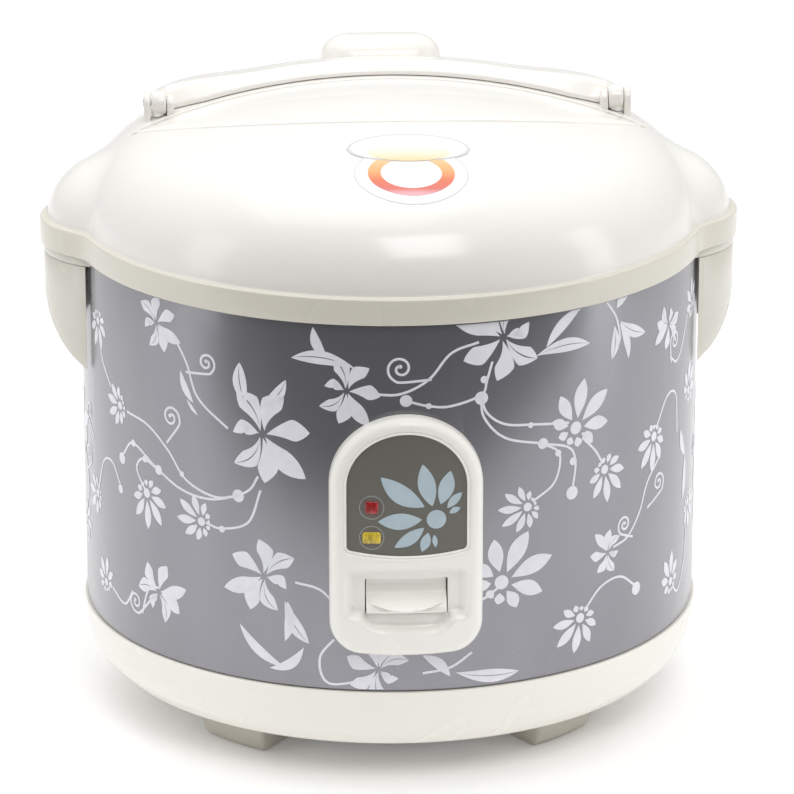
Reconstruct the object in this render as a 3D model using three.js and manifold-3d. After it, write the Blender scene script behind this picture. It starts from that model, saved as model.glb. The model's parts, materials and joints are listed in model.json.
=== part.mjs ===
// A jar-type electric rice cooker: printed steel body on a plastic base, hinged lid with a carry handle,
// a press plate that releases the lid, side grips, and the heater, thermostat and switch gear inside.
// Millimetres, +Z up, -Y to the front. The origin is on the floor, below the centre of the body.
import * as THREE from "three";
import { mergeVertices } from "three/addons/utils/BufferGeometryUtils.js";
import Module from "manifold-3d";

const wasm = await Module();
wasm.setup();

// ---- driving dimensions ----
const GAP = 0.3; // between pieces that touch
const SEGMENTS = 32; // round the large shells
const BODY_R = 135; // outer radius of the printed steel sheet
const SHEET = 1; // its thickness
const SEAM_Z = 46; // joint between base and sheet
const RIM_Z = 208; // underside of the lid's band
const BAND_TOP_Z = 219.5; // top of the lid's band
const BAND_R = 137.3; // outer radius of the lid's band
const EAR_X = 114.5; // centre of each ear's round outline
const EAR_R = 38; // and its radius
const FACE_R = 143.5; // front face of the control panel, concentric with the body
const BACK_Y = 145.5; // rearmost and, mirrored, frontmost reach of the object

const BASE_FLOOR_Z = 12; // underside of the base
const WALL = 2.5; // moulded wall of the base and the lid
const FOOT_ANGLE = 43.5; // of each foot from the front or the back, degrees
const FOOT_SPREAD = 9.8; // half of the angle that a foot covers

const DOME_APEX_Z = 271.5; // top of the lid's dome
const DOME_CAP_R = 400; // radius of curvature of its cap
const DOME_CAP_EDGE = 104; // where the cap turns into the shoulder
const DOME_FOOT_R = 134.9; // radius at the foot of the dome
const DOME_LEAN = 5; // lean of the dome's foot from upright, degrees
const LOBE = { x: 35.6, y: 36, z: 28, centreZ: 219 }; // half axes of the domed ear covers

const POT_R = 104; // inner radius of the cooking pot
const POT_WALL = 1.5;
const POT_FLOOR_Z = 76; // underside of the pot
const POT_RIM_Z = 204.7; // underside of its flange
const HOUSING_R = 109; // outer radius of the pot housing
const HOUSING_FLOOR_Z = 62;
const PLATE_R = 88; // heating plate
const RING_TOP_Z = 207.7; // top of the upper ring

const LENS = { end: 113, front: -40, rear: 32, depth: 7 }; // recess in the top of the lid
const PLATE_END = 104.5; // half length of the release plate in it
const HANDLE = { y: 16, z: 264.5, in: 97, out: 103, r: 5.3, rise: 8.5, front: 6, rear: 62 }; // carry handle
const VENT = { y: 78, halfLength: 27, halfWidth: 13.5, top: 279 }; // steam vent cap
const HINGE = { y: 140, z: 213, knuckle: 3.7, pin: 1.5 }; // lid hinge
const LATCH = { y: -112, z: 229 }; // latch hook's pivot
const LEVER = { y: -119, z: 88 }; // cook lever's pivot
const ARM_Z = 22; // height of the switch arm under the heating plate

const PANEL = { half: 32.2, bottom: 66, top: 171, corner: 12 }; // control panel outline
const INLAY = { half: 25, bottom: 109.5, top: 163 };
const RECESS = { half: 26, bottom: 81, top: 105.5, corner: 4 };
const LAMP_X = -14.7;
const LAMP_Z = { cook: 130.9, warm: 117.6 };
const INLET = { half: 17, bottom: 56, top: 86 };

// ---- materials ----
const COLOUR = {
  cream: [0xf1eee6, 0.3, 0],
  white: [0xf6f5f1, 0.25, 0],
  grey: [0x9e9da3, 0.35, 0.4],
  inlay: [0x7d7a74, 0.4, 0],
  feet: [0xc8c3b9, 0.6, 0],
  steel: [0xb8babd, 0.35, 1],
  aluminium: [0xc9cbcd, 0.4, 1],
  brass: [0xc9a54a, 0.35, 1],
  black: [0x2b2b2d, 0.6, 0],
  rubber: [0xd8d5cc, 0.8, 0],
  red: [0xb41e23, 0.2, 0],
  amber: [0xe1c33c, 0.2, 0],
  glass: [0xdfe6ea, 0.1, 0],
  magnet: [0x4a4a4e, 0.5, 0.3],
};

const cooker = new THREE.Group();
cooker.name = "rice_cooker";

// ---- solids ----
function solid(geometry) {
  const bare = geometry.index ? geometry.toNonIndexed() : geometry.clone();
  bare.deleteAttribute("normal");
  bare.deleteAttribute("uv");
  const merged = mergeVertices(bare, 1e-3);
  const index = merged.index.array;
  const kept = [];
  for (let i = 0; i < index.length; i += 3) {
    const [a, b, c] = [index[i], index[i + 1], index[i + 2]];
    if (a !== b && b !== c && c !== a) kept.push(a, b, c);
  }
  const vertProperties = merged.attributes.position.array;
  const mesh = new wasm.Mesh({ numProp: 3, vertProperties, triVerts: new Uint32Array(kept) });
  return new wasm.Manifold(mesh);
}

function add(name, body, colour) {
  const shape = body.getMesh();
  const geometry = new THREE.BufferGeometry();
  geometry.setAttribute("position", new THREE.BufferAttribute(shape.vertProperties, 3));
  geometry.setIndex(new THREE.BufferAttribute(shape.triVerts, 1));
  geometry.computeVertexNormals();
  const [color, roughness, metalness] = COLOUR[colour];
  const material = new THREE.MeshStandardMaterial({ color, roughness, metalness });
  const mesh = new THREE.Mesh(geometry, material);
  mesh.name = name;
  cooker.add(mesh);
}

const vec = (x, y, z) => new THREE.Vector3(x, y, z);
const rad = THREE.MathUtils.degToRad;

// A closed outline of [radius, z] points, turned about the Z axis.
function lathe(outline, segments = SEGMENTS) {
  const loop = [...outline, outline[0]].map(([r, z]) => new THREE.Vector2(r, z));
  if (THREE.ShapeUtils.area(loop) < 0) loop.reverse();
  return solid(new THREE.LatheGeometry(loop, segments).rotateX(Math.PI / 2));
}

function ring(inner, outer, low, high, segments = SEGMENTS) {
  return lathe([[inner, low], [outer, low], [outer, high], [inner, high]], segments);
}

function disc(outer, low, high, segments = SEGMENTS) {
  return ring(0, outer, low, high, segments);
}

function box(x, y, z) {
  const size = [x, y, z].map(([low, high]) => high - low);
  const centre = [x, y, z].map(([low, high]) => (high + low) / 2);
  return solid(new THREE.BoxGeometry(...size).translate(...centre));
}

// A round bar between two points.
function bar(radius, from, to, sides = 12) {
  const along = to.clone().sub(from);
  const turn = new THREE.Quaternion().setFromUnitVectors(vec(0, 1, 0), along.clone().normalize());
  const middle = from.clone().add(to).multiplyScalar(0.5);
  const geometry = new THREE.CylinderGeometry(radius, radius, along.length(), sides);
  return solid(geometry.applyQuaternion(turn).translate(...middle));
}

const upright = (radius, x, y, low, high, sides = 12) =>
  bar(radius, vec(x, y, low), vec(x, y, high), sides);
const crosswise = (radius, x, y, z, sides = 12) =>
  bar(radius, vec(x[0], y, z), vec(x[1], y, z), sides);

// An outline in plan, pulled up from one height to another.
function prism(shape, low, high, curveSegments = 8) {
  const options = { depth: high - low, bevelEnabled: false, curveSegments };
  return solid(new THREE.ExtrudeGeometry(shape, options).translate(0, 0, low));
}

// An outline drawn in X and Z, pulled from the front to the back.
function frontPrism(shape, near, far, curveSegments = 6) {
  const options = { depth: far - near, bevelEnabled: false, curveSegments };
  const geometry = new THREE.ExtrudeGeometry(shape, options).rotateX(Math.PI / 2);
  return solid(geometry.translate(0, far, 0));
}

// An outline drawn in Y and Z, pulled along X.
function sidePrism(points, low, high) {
  const shape = new THREE.Shape(points.map(([y, z]) => new THREE.Vector2(y, z)));
  const options = { depth: high - low, bevelEnabled: false };
  const geometry = new THREE.ExtrudeGeometry(shape, options);
  geometry.applyMatrix4(new THREE.Matrix4().makeBasis(vec(0, 1, 0), vec(0, 0, 1), vec(1, 0, 0)));
  return solid(geometry.translate(low, 0, 0));
}

function tube(points, radius, steps, sides = 6) {
  const section = new THREE.Shape().absarc(0, 0, radius, 0, 2 * Math.PI);
  const path = new THREE.CatmullRomCurve3(points.map((p) => vec(...p)));
  const options = { steps, extrudePath: path, curveSegments: sides / 2, bevelEnabled: false };
  return solid(new THREE.ExtrudeGeometry(section, options));
}

// A coil spring about an axis through centre, standing along Z.
function coil(radius, wire, turns, low, high) {
  const points = [];
  const perTurn = 8;
  for (let i = 0; i <= turns * perTurn; i++) {
    const angle = (2 * Math.PI * i) / perTurn;
    const z = low + wire + ((high - low - 2 * wire) * i) / (turns * perTurn);
    points.push([radius * Math.cos(angle), radius * Math.sin(angle), z]);
  }
  return tube(points, wire, turns * perTurn, 4);
}

function union(first, ...others) {
  return others.reduce((whole, piece) => whole.add(piece), first);
}

function cut(whole, ...tools) {
  return tools.reduce((left, tool) => left.subtract(tool), whole);
}

const both = (make) => union(make(-1), make(1));
const spanX = (side, low, high) => (side < 0 ? [-high, -low] : [low, high]);

// ---- base ----
const BOWL = [
  [100, BASE_FLOOR_Z], [113, 13.5], [124, 18], [130, 24], [133.5, 31], [135.3, 40], [136, SEAM_Z - GAP],
];
const BOWL_INSIDE = [
  [131, 40], [130.4, 31.6], [127.6, 25.6], [122.4, 20.3], [112.4, 16], [100, BASE_FLOOR_Z + WALL],
];
const COVER_HOLE_R = 80; // opening in the base's floor
const BASE_SCREWS = { r: 83, angles: { front: 270, rear_right: 30, rear_left: 150 } };

function filledBowl(gap) {
  const outline = BOWL.map(([r, z]) => [r + gap, z - gap]);
  return lathe([[0, BASE_FLOOR_Z - gap], ...outline, [0, SEAM_Z]]);
}

function baseScrew(angle, radius, low, high, sides) {
  const x = BASE_SCREWS.r * Math.cos(rad(angle));
  const y = BASE_SCREWS.r * Math.sin(rad(angle));
  return upright(radius, x, y, BASE_FLOOR_Z + low, BASE_FLOOR_Z + high, sides);
}

function baseScrewHoles() {
  return Object.values(BASE_SCREWS.angles).map((angle) => baseScrew(angle, 2, -5, 8, 12));
}

function makeBase() {
  const floorTop = BASE_FLOOR_Z + WALL;
  const lip = [[133.2, SEAM_Z - GAP], [133.2, SEAM_Z + 6], [131, SEAM_Z + 6]];
  const outline = [[COVER_HOLE_R, BASE_FLOOR_Z], ...BOWL, ...lip, ...BOWL_INSIDE, [COVER_HOLE_R, floorTop]];
  const slots = [];
  for (let angle = 15; angle < 360; angle += 45) {
    const slot = box([91, 108], [-1.5, 1.5], [10, 24]);
    slots.push(slot.rotate([0, 0, angle]));
  }
  add("base_shell", cut(lathe(outline), ...slots, ...baseScrewHoles()), "cream");

  const vents = [];
  for (let angle = 0; angle < 360; angle += 45) {
    vents.push(box([45, 70], [-1.5, 1.5], [15, 24]).rotate([0, 0, angle]));
  }
  const cover = disc(88, floorTop + GAP, floorTop + GAP + 1.2);
  add("bottom_cover", cut(cover, ...vents, ...baseScrewHoles()), "steel");
}

function makeBaseScrews() {
  for (const [place, angle] of Object.entries(BASE_SCREWS.angles)) {
    const head = baseScrew(angle, 3.2, -2, -GAP, 12);
    add(`base_screw_${place}`, head.add(baseScrew(angle, 1.6, -1, 6.5, 8)), "steel");
  }
}

// Each foot is a stretch of one tapered ring.
function makeFeet() {
  const top = BASE_FLOOR_Z - GAP;
  const section = [[84, 0], [103.5, 0], [106, 2.5], [109, top + 5], [80, top + 5], [81.5, 2.5]];
  const reach = 140;
  const half = rad(FOOT_SPREAD);
  const wedge = new THREE.Shape([
    new THREE.Vector2(0, 0),
    new THREE.Vector2(reach, -reach * Math.tan(half)),
    new THREE.Vector2(reach, reach * Math.tan(half)),
  ]);
  const foot = lathe(section).subtract(filledBowl(GAP));
  const slice = (angle) => foot.intersect(prism(wedge, -1, 30).rotate([0, 0, angle]));
  add("foot_front_left", slice(-90 - FOOT_ANGLE), "feet");
  add("foot_front_right", slice(-90 + FOOT_ANGLE), "feet");
  add("foot_rear_left", slice(90 + FOOT_ANGLE), "feet");
  add("foot_rear_right", slice(90 - FOOT_ANGLE), "feet");
}

// ---- body ----
function makeBodyShell() {
  const sheet = ring(BODY_R - SHEET, BODY_R, SEAM_Z + GAP, RING_TOP_Z - 0.2);
  const window = box([-24, 24], [-150, -100], [76, 152]);
  const socket = box([-INLET.half - 1, INLET.half + 1], [100, 150], [INLET.bottom - 1, INLET.top + 1]);
  const notch = both((side) => box(spanX(side, 120, 150), [-35, 35], [RING_TOP_Z - 3.6, 220]));
  const hinge = box([-35, 35], [100, 150], [196, 220]);
  add("body_shell", cut(sheet, window, socket, notch, hinge), "grey");
}

const earDisc = (radius, side, low, high) => upright(radius, side * EAR_X, 0, low, high, 24);

function makeUpperRing() {
  const seat = 204.4;
  const outline = [
    [108.8, 202], [119, 202], [119, 205], [131.4, 205], [131.4, 192],
    [133.6, 192], [133.6, RING_TOP_Z], [116.8, RING_TOP_Z], [116.8, seat], [108.8, seat],
  ];
  const inner = disc(132.6, 200, 212);
  const ears = both((side) => cut(earDisc(36.5, side, seat, RING_TOP_Z), inner));
  const knuckles = both((side) => {
    const x = spanX(side, 19, 33);
    const shelf = box(x, [128.5, HINGE.y + 2.5], [200, RING_TOP_Z]);
    const post = box(x, [138.1, HINGE.y + 2.5], [RING_TOP_Z - 2, HINGE.z]);
    return union(shelf, post, crosswise(HINGE.knuckle, x, HINGE.y, HINGE.z));
  });
  const bore = crosswise(HINGE.pin + 0.1, [-40, 40], HINGE.y, HINGE.z, 12);
  const catchSlot = box([-9, 9], [-128.5, -114.5], [195, 215]);
  const screwHoles = both((side) => upright(1.8, side * 143, 0, 203, 206.8, 8));
  const whole = union(lathe(outline), ears, knuckles);
  add("upper_ring", cut(whole, bore, catchSlot, screwHoles), "cream");
}

// A crescent wall that hangs under each ear, open below for the fingers.
function makeSideGrips() {
  const top = 204.1;
  const profile = new THREE.Shape();
  profile.moveTo(100, top);
  profile.lineTo(100, 150);
  profile.lineTo(119, 154);
  profile.absellipse(119, 190, 32, 36, -Math.PI / 2, 0, false);
  profile.lineTo(155, 190);
  profile.lineTo(155, top);
  for (const side of [-1, 1]) {
    const block = earDisc(36.5, side, 150, top).subtract(disc(BODY_R + 0.8, 140, 220));
    const limit = frontPrism(profile, -50, 50);
    const shaped = block.intersect(side > 0 ? limit : limit.mirror([1, 0, 0]));
    const hollow = earDisc(33.7, side, 140, 201.4);
    const hole = upright(1.8, side * 143, 0, 200, 206, 8);
    add(side < 0 ? "side_grip_left" : "side_grip_right", cut(shaped, hollow, hole), "cream");
    const head = upright(2.8, side * 143, 0, 199.4, 201.1, 10);
    const shank = upright(1.5, side * 143, 0, 200, 206.4, 8);
    add(side < 0 ? "grip_screw_left" : "grip_screw_right", head.add(shank), "steel");
  }
}

// ---- pot, housing and heaters ----
function makeHousing() {
  const z = HOUSING_FLOOR_Z;
  const r = HOUSING_R;
  const outline = [
    [32, z], [92, z], [104, z + 4], [r, z + 16], [r, 200.4], [117, 200.4], [117, 201.7],
    [r - 1, 201.7], [r - 1, z + 16.4], [103.4, z + 5], [91.8, z + 1], [32, z + 1],
  ];
  const terminals = both((side) => upright(6, side * 50, -30, z - 3, z + 3));
  add("pot_housing", cut(lathe(outline), terminals), "aluminium");
}

function makePot() {
  const z = POT_FLOOR_Z;
  const r = POT_R;
  const w = POT_WALL;
  const outline = [
    [0, z], [95.5, z], [102.5, z + 2.8], [r + w, z + 9.5], [r + w, POT_RIM_Z], [115.5, POT_RIM_Z],
    [115.5, POT_RIM_Z + w], [r, POT_RIM_Z + w], [r, z + 10], [101.5, z + 4], [95, z + w], [0, z + w],
  ];
  add("inner_pot", lathe(outline), "aluminium");
}

function makeHeaters() {
  const top = POT_FLOOR_Z - GAP;
  const plate = lathe([[19, 67], [84, 67], [PLATE_R, 70], [PLATE_R, top - 1.5], [86, top], [19, top]]);
  const legs = [30, 150, 270].map((angle) => {
    const foot = [62 * Math.cos(rad(angle)), 62 * Math.sin(rad(angle))];
    return upright(5, ...foot, HOUSING_FLOOR_Z + 1.3, 68, 12);
  });
  add("heating_plate", union(plate, ...legs), "aluminium");
  for (const side of [-1, 1]) {
    const name = side < 0 ? "heater_terminal_left" : "heater_terminal_right";
    add(name, upright(3, side * 50, -30, 50, 67 - GAP, 10), "brass");
  }
  add("keep_warm_heater", ring(HOUSING_R + GAP, HOUSING_R + 2.3, 112, 142), "steel");
}

function makeThermostat() {
  const stem = upright(4, 0, 0, 45.5, 60, 12);
  const outline = [
    [0, 59], [13, 59], [13, 65.8], [16, 65.8], [16, 67.8], [13, 67.8], [13, 75.7], [0, 75.7],
  ];
  const can = lathe(outline, 24);
  add("thermostat_capsule", can.add(stem), "aluminium");
  add("thermostat_spring", coil(14.9, 0.8, 4, 57.2, 65.4), "steel");
  const strap = box([-36, 36], [-8, 8], [55.3, 56.9]);
  const tabs = both((side) => box(spanX(side, 34.4, 36), [-8, 8], [56, HOUSING_FLOOR_Z - GAP]));
  const hole = upright(4.6, 0, 0, 50, 60, 12);
  add("thermostat_bracket", cut(strap.add(tabs), hole), "steel");
}

// ---- switch gear ----
function makeSwitchGear() {
  const { y, z } = LEVER;
  const face = -BACK_Y;
  const side = [[face + 1.5, 84], [face, 87], [face, 93.5], [face + 2.5, 97], [-134, 97], [-134, 84]];
  const pad = sidePrism(side, -17.3, 17.3);
  const neck = box([-12, 12], [-136, y + 5], [z - 3.5, z + 3.5]);
  const hub = crosswise(5, [-12, 12], y, z);
  const hubBore = crosswise(1.9, [-20, 20], y, z, 12);
  const strap = box([-5.3, 5.3], [y - 1.1, y + 6], [z - 12, z - 1.2]);
  add("cook_lever", cut(union(pad, neck, hub), hubBore, strap), "cream");

  const drop = box([-5, 5], [y - 0.8, y + 0.8], [ARM_Z, z - 3.2]);
  const run = box([-5, 5], [y - 0.8, 9], [ARM_Z, ARM_Z + 1.6]);
  add("switch_arm", drop.add(run), "steel");
  add("switch_magnet", upright(7.5, 0, 0, ARM_Z + 1.6 + GAP, ARM_Z + 8, 20), "magnet");
  add("lever_pin", crosswise(1.8, [-22, 22], y, z, 12), "steel");

  const cheeks = both((side) => box(spanX(side, 17.5, 19), [y - 7, y + 5], [z - 8, z + 16]));
  const bridge = box([-19, 19], [y - 7, y + 5], [z + 14.5, z + 16]);
  const pinHoles = crosswise(2, [-30, 30], y, z, 12);
  add("lever_bracket", cut(cheeks.add(bridge), pinHoles), "steel");

  const blade = box([1, 9], [-66, -65], [30.6, 32]);
  const mast = box([16, 20], [-70, -50], [41, HOUSING_FLOOR_Z - GAP]);
  add("micro_switch", union(box([8, 20], [-70, -50], [30, 42]), blade, mast), "black");
}

// ---- control panel ----
function archShape(half, bottom, top, corner) {
  const shape = new THREE.Shape();
  shape.moveTo(-half + corner, bottom);
  shape.lineTo(half - corner, bottom);
  shape.absarc(half - corner, bottom + corner, corner, -Math.PI / 2, 0, false);
  shape.lineTo(half, top - half);
  shape.absarc(0, top - half, half, 0, Math.PI, false);
  shape.lineTo(-half, bottom + corner);
  shape.absarc(-half + corner, bottom + corner, corner, Math.PI, 1.5 * Math.PI, false);
  return shape;
}

function roundedShape(half, bottom, top, corner) {
  const shape = new THREE.Shape();
  shape.absarc(half - corner, bottom + corner, corner, -Math.PI / 2, 0, false);
  shape.absarc(half - corner, top - corner, corner, 0, Math.PI / 2, false);
  shape.absarc(-half + corner, top - corner, corner, Math.PI / 2, Math.PI, false);
  shape.absarc(-half + corner, bottom + corner, corner, Math.PI, 1.5 * Math.PI, false);
  return shape;
}

// The part of a front-to-back prism that lies between two radii from the body's axis.
function curvedPanel(shape, inner, outer) {
  const block = frontPrism(shape, -160, -100);
  return block.intersect(ring(inner, outer, 50, 190, 64));
}

const lampHole = (z, radius, near, far) => bar(radius, vec(LAMP_X, near, z), vec(LAMP_X, far, z), 20);

function makePanel() {
  const rim = archShape(PANEL.half, PANEL.bottom, PANEL.top, PANEL.corner);
  const inlay = archShape(INLAY.half, INLAY.bottom, INLAY.top, 3);
  const pocket = archShape(INLAY.half + GAP, INLAY.bottom - GAP, INLAY.top + GAP, 3);
  const recess = roundedShape(RECESS.half, RECESS.bottom, RECESS.top, RECESS.corner);
  const bezel = cut(
    curvedPanel(rim, BODY_R + GAP, FACE_R),
    curvedPanel(pocket, FACE_R - 2, FACE_R + 5),
    curvedPanel(recess, FACE_R - 4.5, FACE_R + 5),
    box([-18.3, 18.3], [-150, -120], [81.5, 99]),
    lampHole(LAMP_Z.cook, 4, -150, -120),
    lampHole(LAMP_Z.warm, 4, -150, -120),
  );
  add("panel_bezel", bezel, "cream");
  const sheet = cut(
    curvedPanel(inlay, FACE_R - 1.7, FACE_R - 0.7),
    lampHole(LAMP_Z.cook, 4, -150, -120),
    lampHole(LAMP_Z.warm, 4, -150, -120),
  );
  add("panel_inlay", sheet, "inlay");
  const faceY = -Math.sqrt((FACE_R - 0.7) ** 2 - LAMP_X ** 2);
  for (const [lamp, colour] of [["cook", "red"], ["warm", "amber"]]) {
    const z = LAMP_Z[lamp];
    add(`${lamp}_lens`, lampHole(z, 3.6, faceY - 0.4, faceY + 6), colour);
  }
  const bulbs = Object.values(LAMP_Z).map((z) => lampHole(z, 2.6, faceY + 6 + GAP, -122));
  add("lamp_block", union(box([-24, -6], [-124.5, -121], [111, 138]), ...bulbs), "glass");
}

// ---- power inlet and internal leads ----
function makeInlet() {
  const { half, bottom, top } = INLET;
  const outer = box([-half, half], [112, BODY_R + 6], [bottom, top]);
  const flange = box([-half - 4, half + 4], [BODY_R + 1, BODY_R + 4], [bottom - 4, top + 4]);
  const socket = box([-half + 2.5, half - 2.5], [118, BODY_R + 8], [bottom + 2.5, top - 2.5]);
  const pins = [["line", -8, 67], ["neutral", 8, 67], ["earth", 0, 77]];
  const holes = pins.map(([, x, z]) => bar(2.2, vec(x, 105, z), vec(x, 125, z), 10));
  add("power_inlet", cut(outer.add(flange), socket, ...holes), "black");
  for (const [name, x, z] of pins) {
    add(`inlet_pin_${name}`, bar(1.9, vec(x, 110, z), vec(x, 134, z), 10), "brass");
  }
}

function makeLeads() {
  const lead = (...points) => tube(points, 1.4, 14);
  const line = lead([-8, 108.3, 67], [-30, 98, 52], [-60, 50, 44], [-64, 0, 42], [-50, -30, 48]);
  add("lead_line", line, "white");
  const toFuse = lead([8, 108.3, 67], [24, 98, 52], [48, 70, 46], [62, 50, 48], [54, 36, 58]);
  const toHeater = lead([26, 36, 58], [14, 30, 52], [30, 0, 46], [44, -20, 44], [50, -30, 48]);
  add("thermal_fuse", union(crosswise(3, [24, 56], 36, 58, 10), toFuse, toHeater), "white");
  const toSwitch = [[-46, -98, 56], [-24, -76, 50], [12, -60, 44]];
  add("lead_lamps", lead([-15, -119, 124], [-20, -118, 110], [-40, -112, 80], ...toSwitch), "white");
}

// ---- lid ----
// The lid's outline in radius and height, set in by the given amount.
function domeOutline(inset) {
  const capAngle = Math.asin(DOME_CAP_EDGE / DOME_CAP_R);
  const footAngle = rad(90 - DOME_LEAN);
  const capDrop = DOME_CAP_R * (1 - Math.cos(capAngle));
  const height = DOME_APEX_Z - capDrop - (BAND_TOP_Z + 0.5);
  const reach = Math.sin(footAngle) - Math.sin(capAngle);
  const fall = Math.cos(capAngle) - Math.cos(footAngle);
  const lean = Math.tan(rad(DOME_LEAN));
  const shoulder = (DOME_FOOT_R - DOME_CAP_EDGE - height * lean) / (reach - fall * lean);
  const points = [];
  const capSteps = 3;
  for (let i = 0; i <= capSteps; i++) {
    const a = (capAngle * i) / capSteps;
    const r = DOME_CAP_R - inset;
    points.push([r * Math.sin(a), DOME_APEX_Z - DOME_CAP_R + r * Math.cos(a)]);
  }
  const shoulderSteps = 3;
  const centreR = DOME_CAP_EDGE - shoulder * Math.sin(capAngle);
  const centreZ = DOME_APEX_Z - capDrop - shoulder * Math.cos(capAngle);
  for (let i = 1; i <= shoulderSteps; i++) {
    const a = capAngle + ((footAngle - capAngle) * i) / shoulderSteps;
    const r = shoulder - inset;
    points.push([centreR + r * Math.sin(a), centreZ + r * Math.cos(a)]);
  }
  points.push([DOME_FOOT_R - inset, BAND_TOP_Z]);
  return points.reverse();
}

function dome(inset, low) {
  return lathe([[0, low], [DOME_FOOT_R - inset, low], ...domeOutline(inset)]);
}

function lidSolid(inset, low) {
  const top = BAND_TOP_Z - inset;
  const lobes = both((side) => {
    const ball = new THREE.SphereGeometry(1, 16, 10).rotateX(Math.PI / 2);
    ball.scale(LOBE.x - inset, LOBE.y - inset, LOBE.z - inset);
    const lower = box([-160, 160], [-60, 60], [150, top - 2]);
    return solid(ball.translate(side * EAR_X, 0, LOBE.centreZ)).subtract(lower);
  });
  const ears = both((side) => earDisc(EAR_R - inset, side, low, top));
  return union(dome(inset, low), disc(BAND_R - inset, low, top), ears, lobes);
}

// The lens-shaped recess across the top of the lid, drawn in plan.
function lensShape(grow) {
  const reach = LENS.end + grow;
  const arc = (depth, x) => {
    const sag = Math.abs(depth) + grow;
    const radius = (reach ** 2 + sag ** 2) / (2 * sag);
    return Math.sign(depth) * (Math.sqrt(radius ** 2 - x ** 2) - (radius - sag));
  };
  const steps = 10;
  const points = [];
  for (let i = 0; i <= steps; i++) {
    const x = -reach + (2 * reach * i) / steps;
    points.push(new THREE.Vector2(x, arc(LENS.front, x)));
  }
  for (let i = steps; i >= 0; i--) {
    const x = -reach + (2 * reach * i) / steps;
    points.push(new THREE.Vector2(x, arc(LENS.rear, x)));
  }
  return new THREE.Shape(points);
}

function makeLidShell() {
  const wide = dome(0, 200);
  const shell = lidSolid(0, RIM_Z).subtract(lidSolid(WALL, RIM_Z - 5));
  const pan = cut(prism(lensShape(2), 230, 290).intersect(wide), wide.translate([0, 0, -LENS.depth - 2]));
  const recess = cut(prism(lensShape(0), 230, 290), wide.translate([0, 0, -LENS.depth]));
  const lug = (side, low, high) => {
    const x = spanX(side, low, high);
    const stem = box(x, [HANDLE.y - 5, HANDLE.y + 5], [HANDLE.z - 9, HANDLE.z]);
    return union(crosswise(5, x, HANDLE.y, HANDLE.z), stem);
  };
  const lugs = both((side) => union(lug(side, 93.4, HANDLE.in - 0.5), lug(side, HANDLE.out + 0.5, 106.6)));
  const pinBore = crosswise(1.7, [-108.5, 108.5], HANDLE.y, HANDLE.z, 12);
  const post = upright(5.5, 0, -30, 240, 280);
  const vent = upright(10, 0, VENT.y, 240, 290, 24);
  const knuckles = both((side) => {
    const x = spanX(side, 7.5, 18.4);
    return union(crosswise(HINGE.knuckle, x, HINGE.y, HINGE.z), box(x, [133.5, HINGE.y], [209.5, 216.5]));
  });
  const hingeBore = crosswise(HINGE.pin + 0.1, [-40, 40], HINGE.y, HINGE.z, 12);
  const body = union(shell.add(pan).subtract(recess), lugs, knuckles);
  add("lid_outer_shell", cut(body, pinBore, post, vent, hingeBore), "white");
}

function makeLidInside() {
  const outline = [
    [4.8, 222], [116, 222], [116, 208.6], [134.1, 208.6],
    [134.1, 210.6], [118, 210.6], [118, 224], [4.8, 224],
  ];
  const bosses = both((side) => box(spanX(side, 8, 13), [LATCH.y - 4, LATCH.y + 4], [223, LATCH.z + 4]));
  const pinHole = crosswise(1.7, [-20, 20], LATCH.y, LATCH.z, 12);
  const hook = box([-7, 7], [-130, -112], [205, 221]);
  const tubeHole = upright(8, 0, VENT.y, 215, 230, 20);
  add("lid_inner_shell", cut(lathe(outline).add(bosses), pinHole, hook, tubeHole), "cream");

  const plate = [
    [4.8, 216], [98, 216], [104, 210.6], [112.2, 210.6], [112.2, 211.7], [104.6, 211.7], [98.5, 217.1],
    [4.8, 217.1],
  ];
  const steamHole = upright(5, 0, VENT.y, 210, 220, 16);
  add("inner_lid_plate", cut(lathe(plate), steamHole), "aluminium");
  const gasket = [
    [107.5, 206.7], [115.3, 206.7], [115.3, 213], [108.5, 213],
    [108.5, 212.1], [112.6, 212.1], [112.6, 210.2], [107.5, 210.2],
  ];
  add("lid_gasket", lathe(gasket), "rubber");
  const grommet = [
    [0, 212.6], [9, 212.6], [9, 215.6], [4.4, 215.6], [4.4, 224.4], [7, 224.4], [7, 227], [0, 227],
  ];
  add("plate_grommet", lathe(grommet, 20), "rubber");
}

function ventShape(grow) {
  const half = VENT.halfLength - VENT.halfWidth;
  const shape = new THREE.Shape();
  shape.absarc(half, VENT.y, VENT.halfWidth + grow, -Math.PI / 2, Math.PI / 2, false);
  shape.absarc(-half, VENT.y, VENT.halfWidth + grow, Math.PI / 2, 1.5 * Math.PI, false);
  return shape;
}

function makeVent() {
  const surface = dome(0, 200).translate([0, 0, 0.4]);
  const block = prism(ventShape(0), 255, VENT.top);
  const hollow = prism(ventShape(-WALL), 250, VENT.top - WALL);
  const outlets = [-12, 0, 12].map((x) => box([x - 3.5, x + 3.5], [VENT.y + 5, VENT.y + 20], [266, 271]));
  const spigot = upright(9.6, 0, VENT.y, 252, 277.5, 24).subtract(upright(8.2, 0, VENT.y, 245, 274, 24));
  const windows = both((side) => box(spanX(side, 4, 20), [VENT.y - 3, VENT.y + 3], [268, 273]));
  const cap = cut(block, surface, hollow, ...outlets);
  add("steam_vent_cap", cap.add(cut(spigot, windows)), "white");
  const pipe = upright(7.6, 0, VENT.y, 218, 262, 20).subtract(upright(6.2, 0, VENT.y, 210, 270, 20));
  add("steam_tube", pipe, "white");
}

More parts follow.
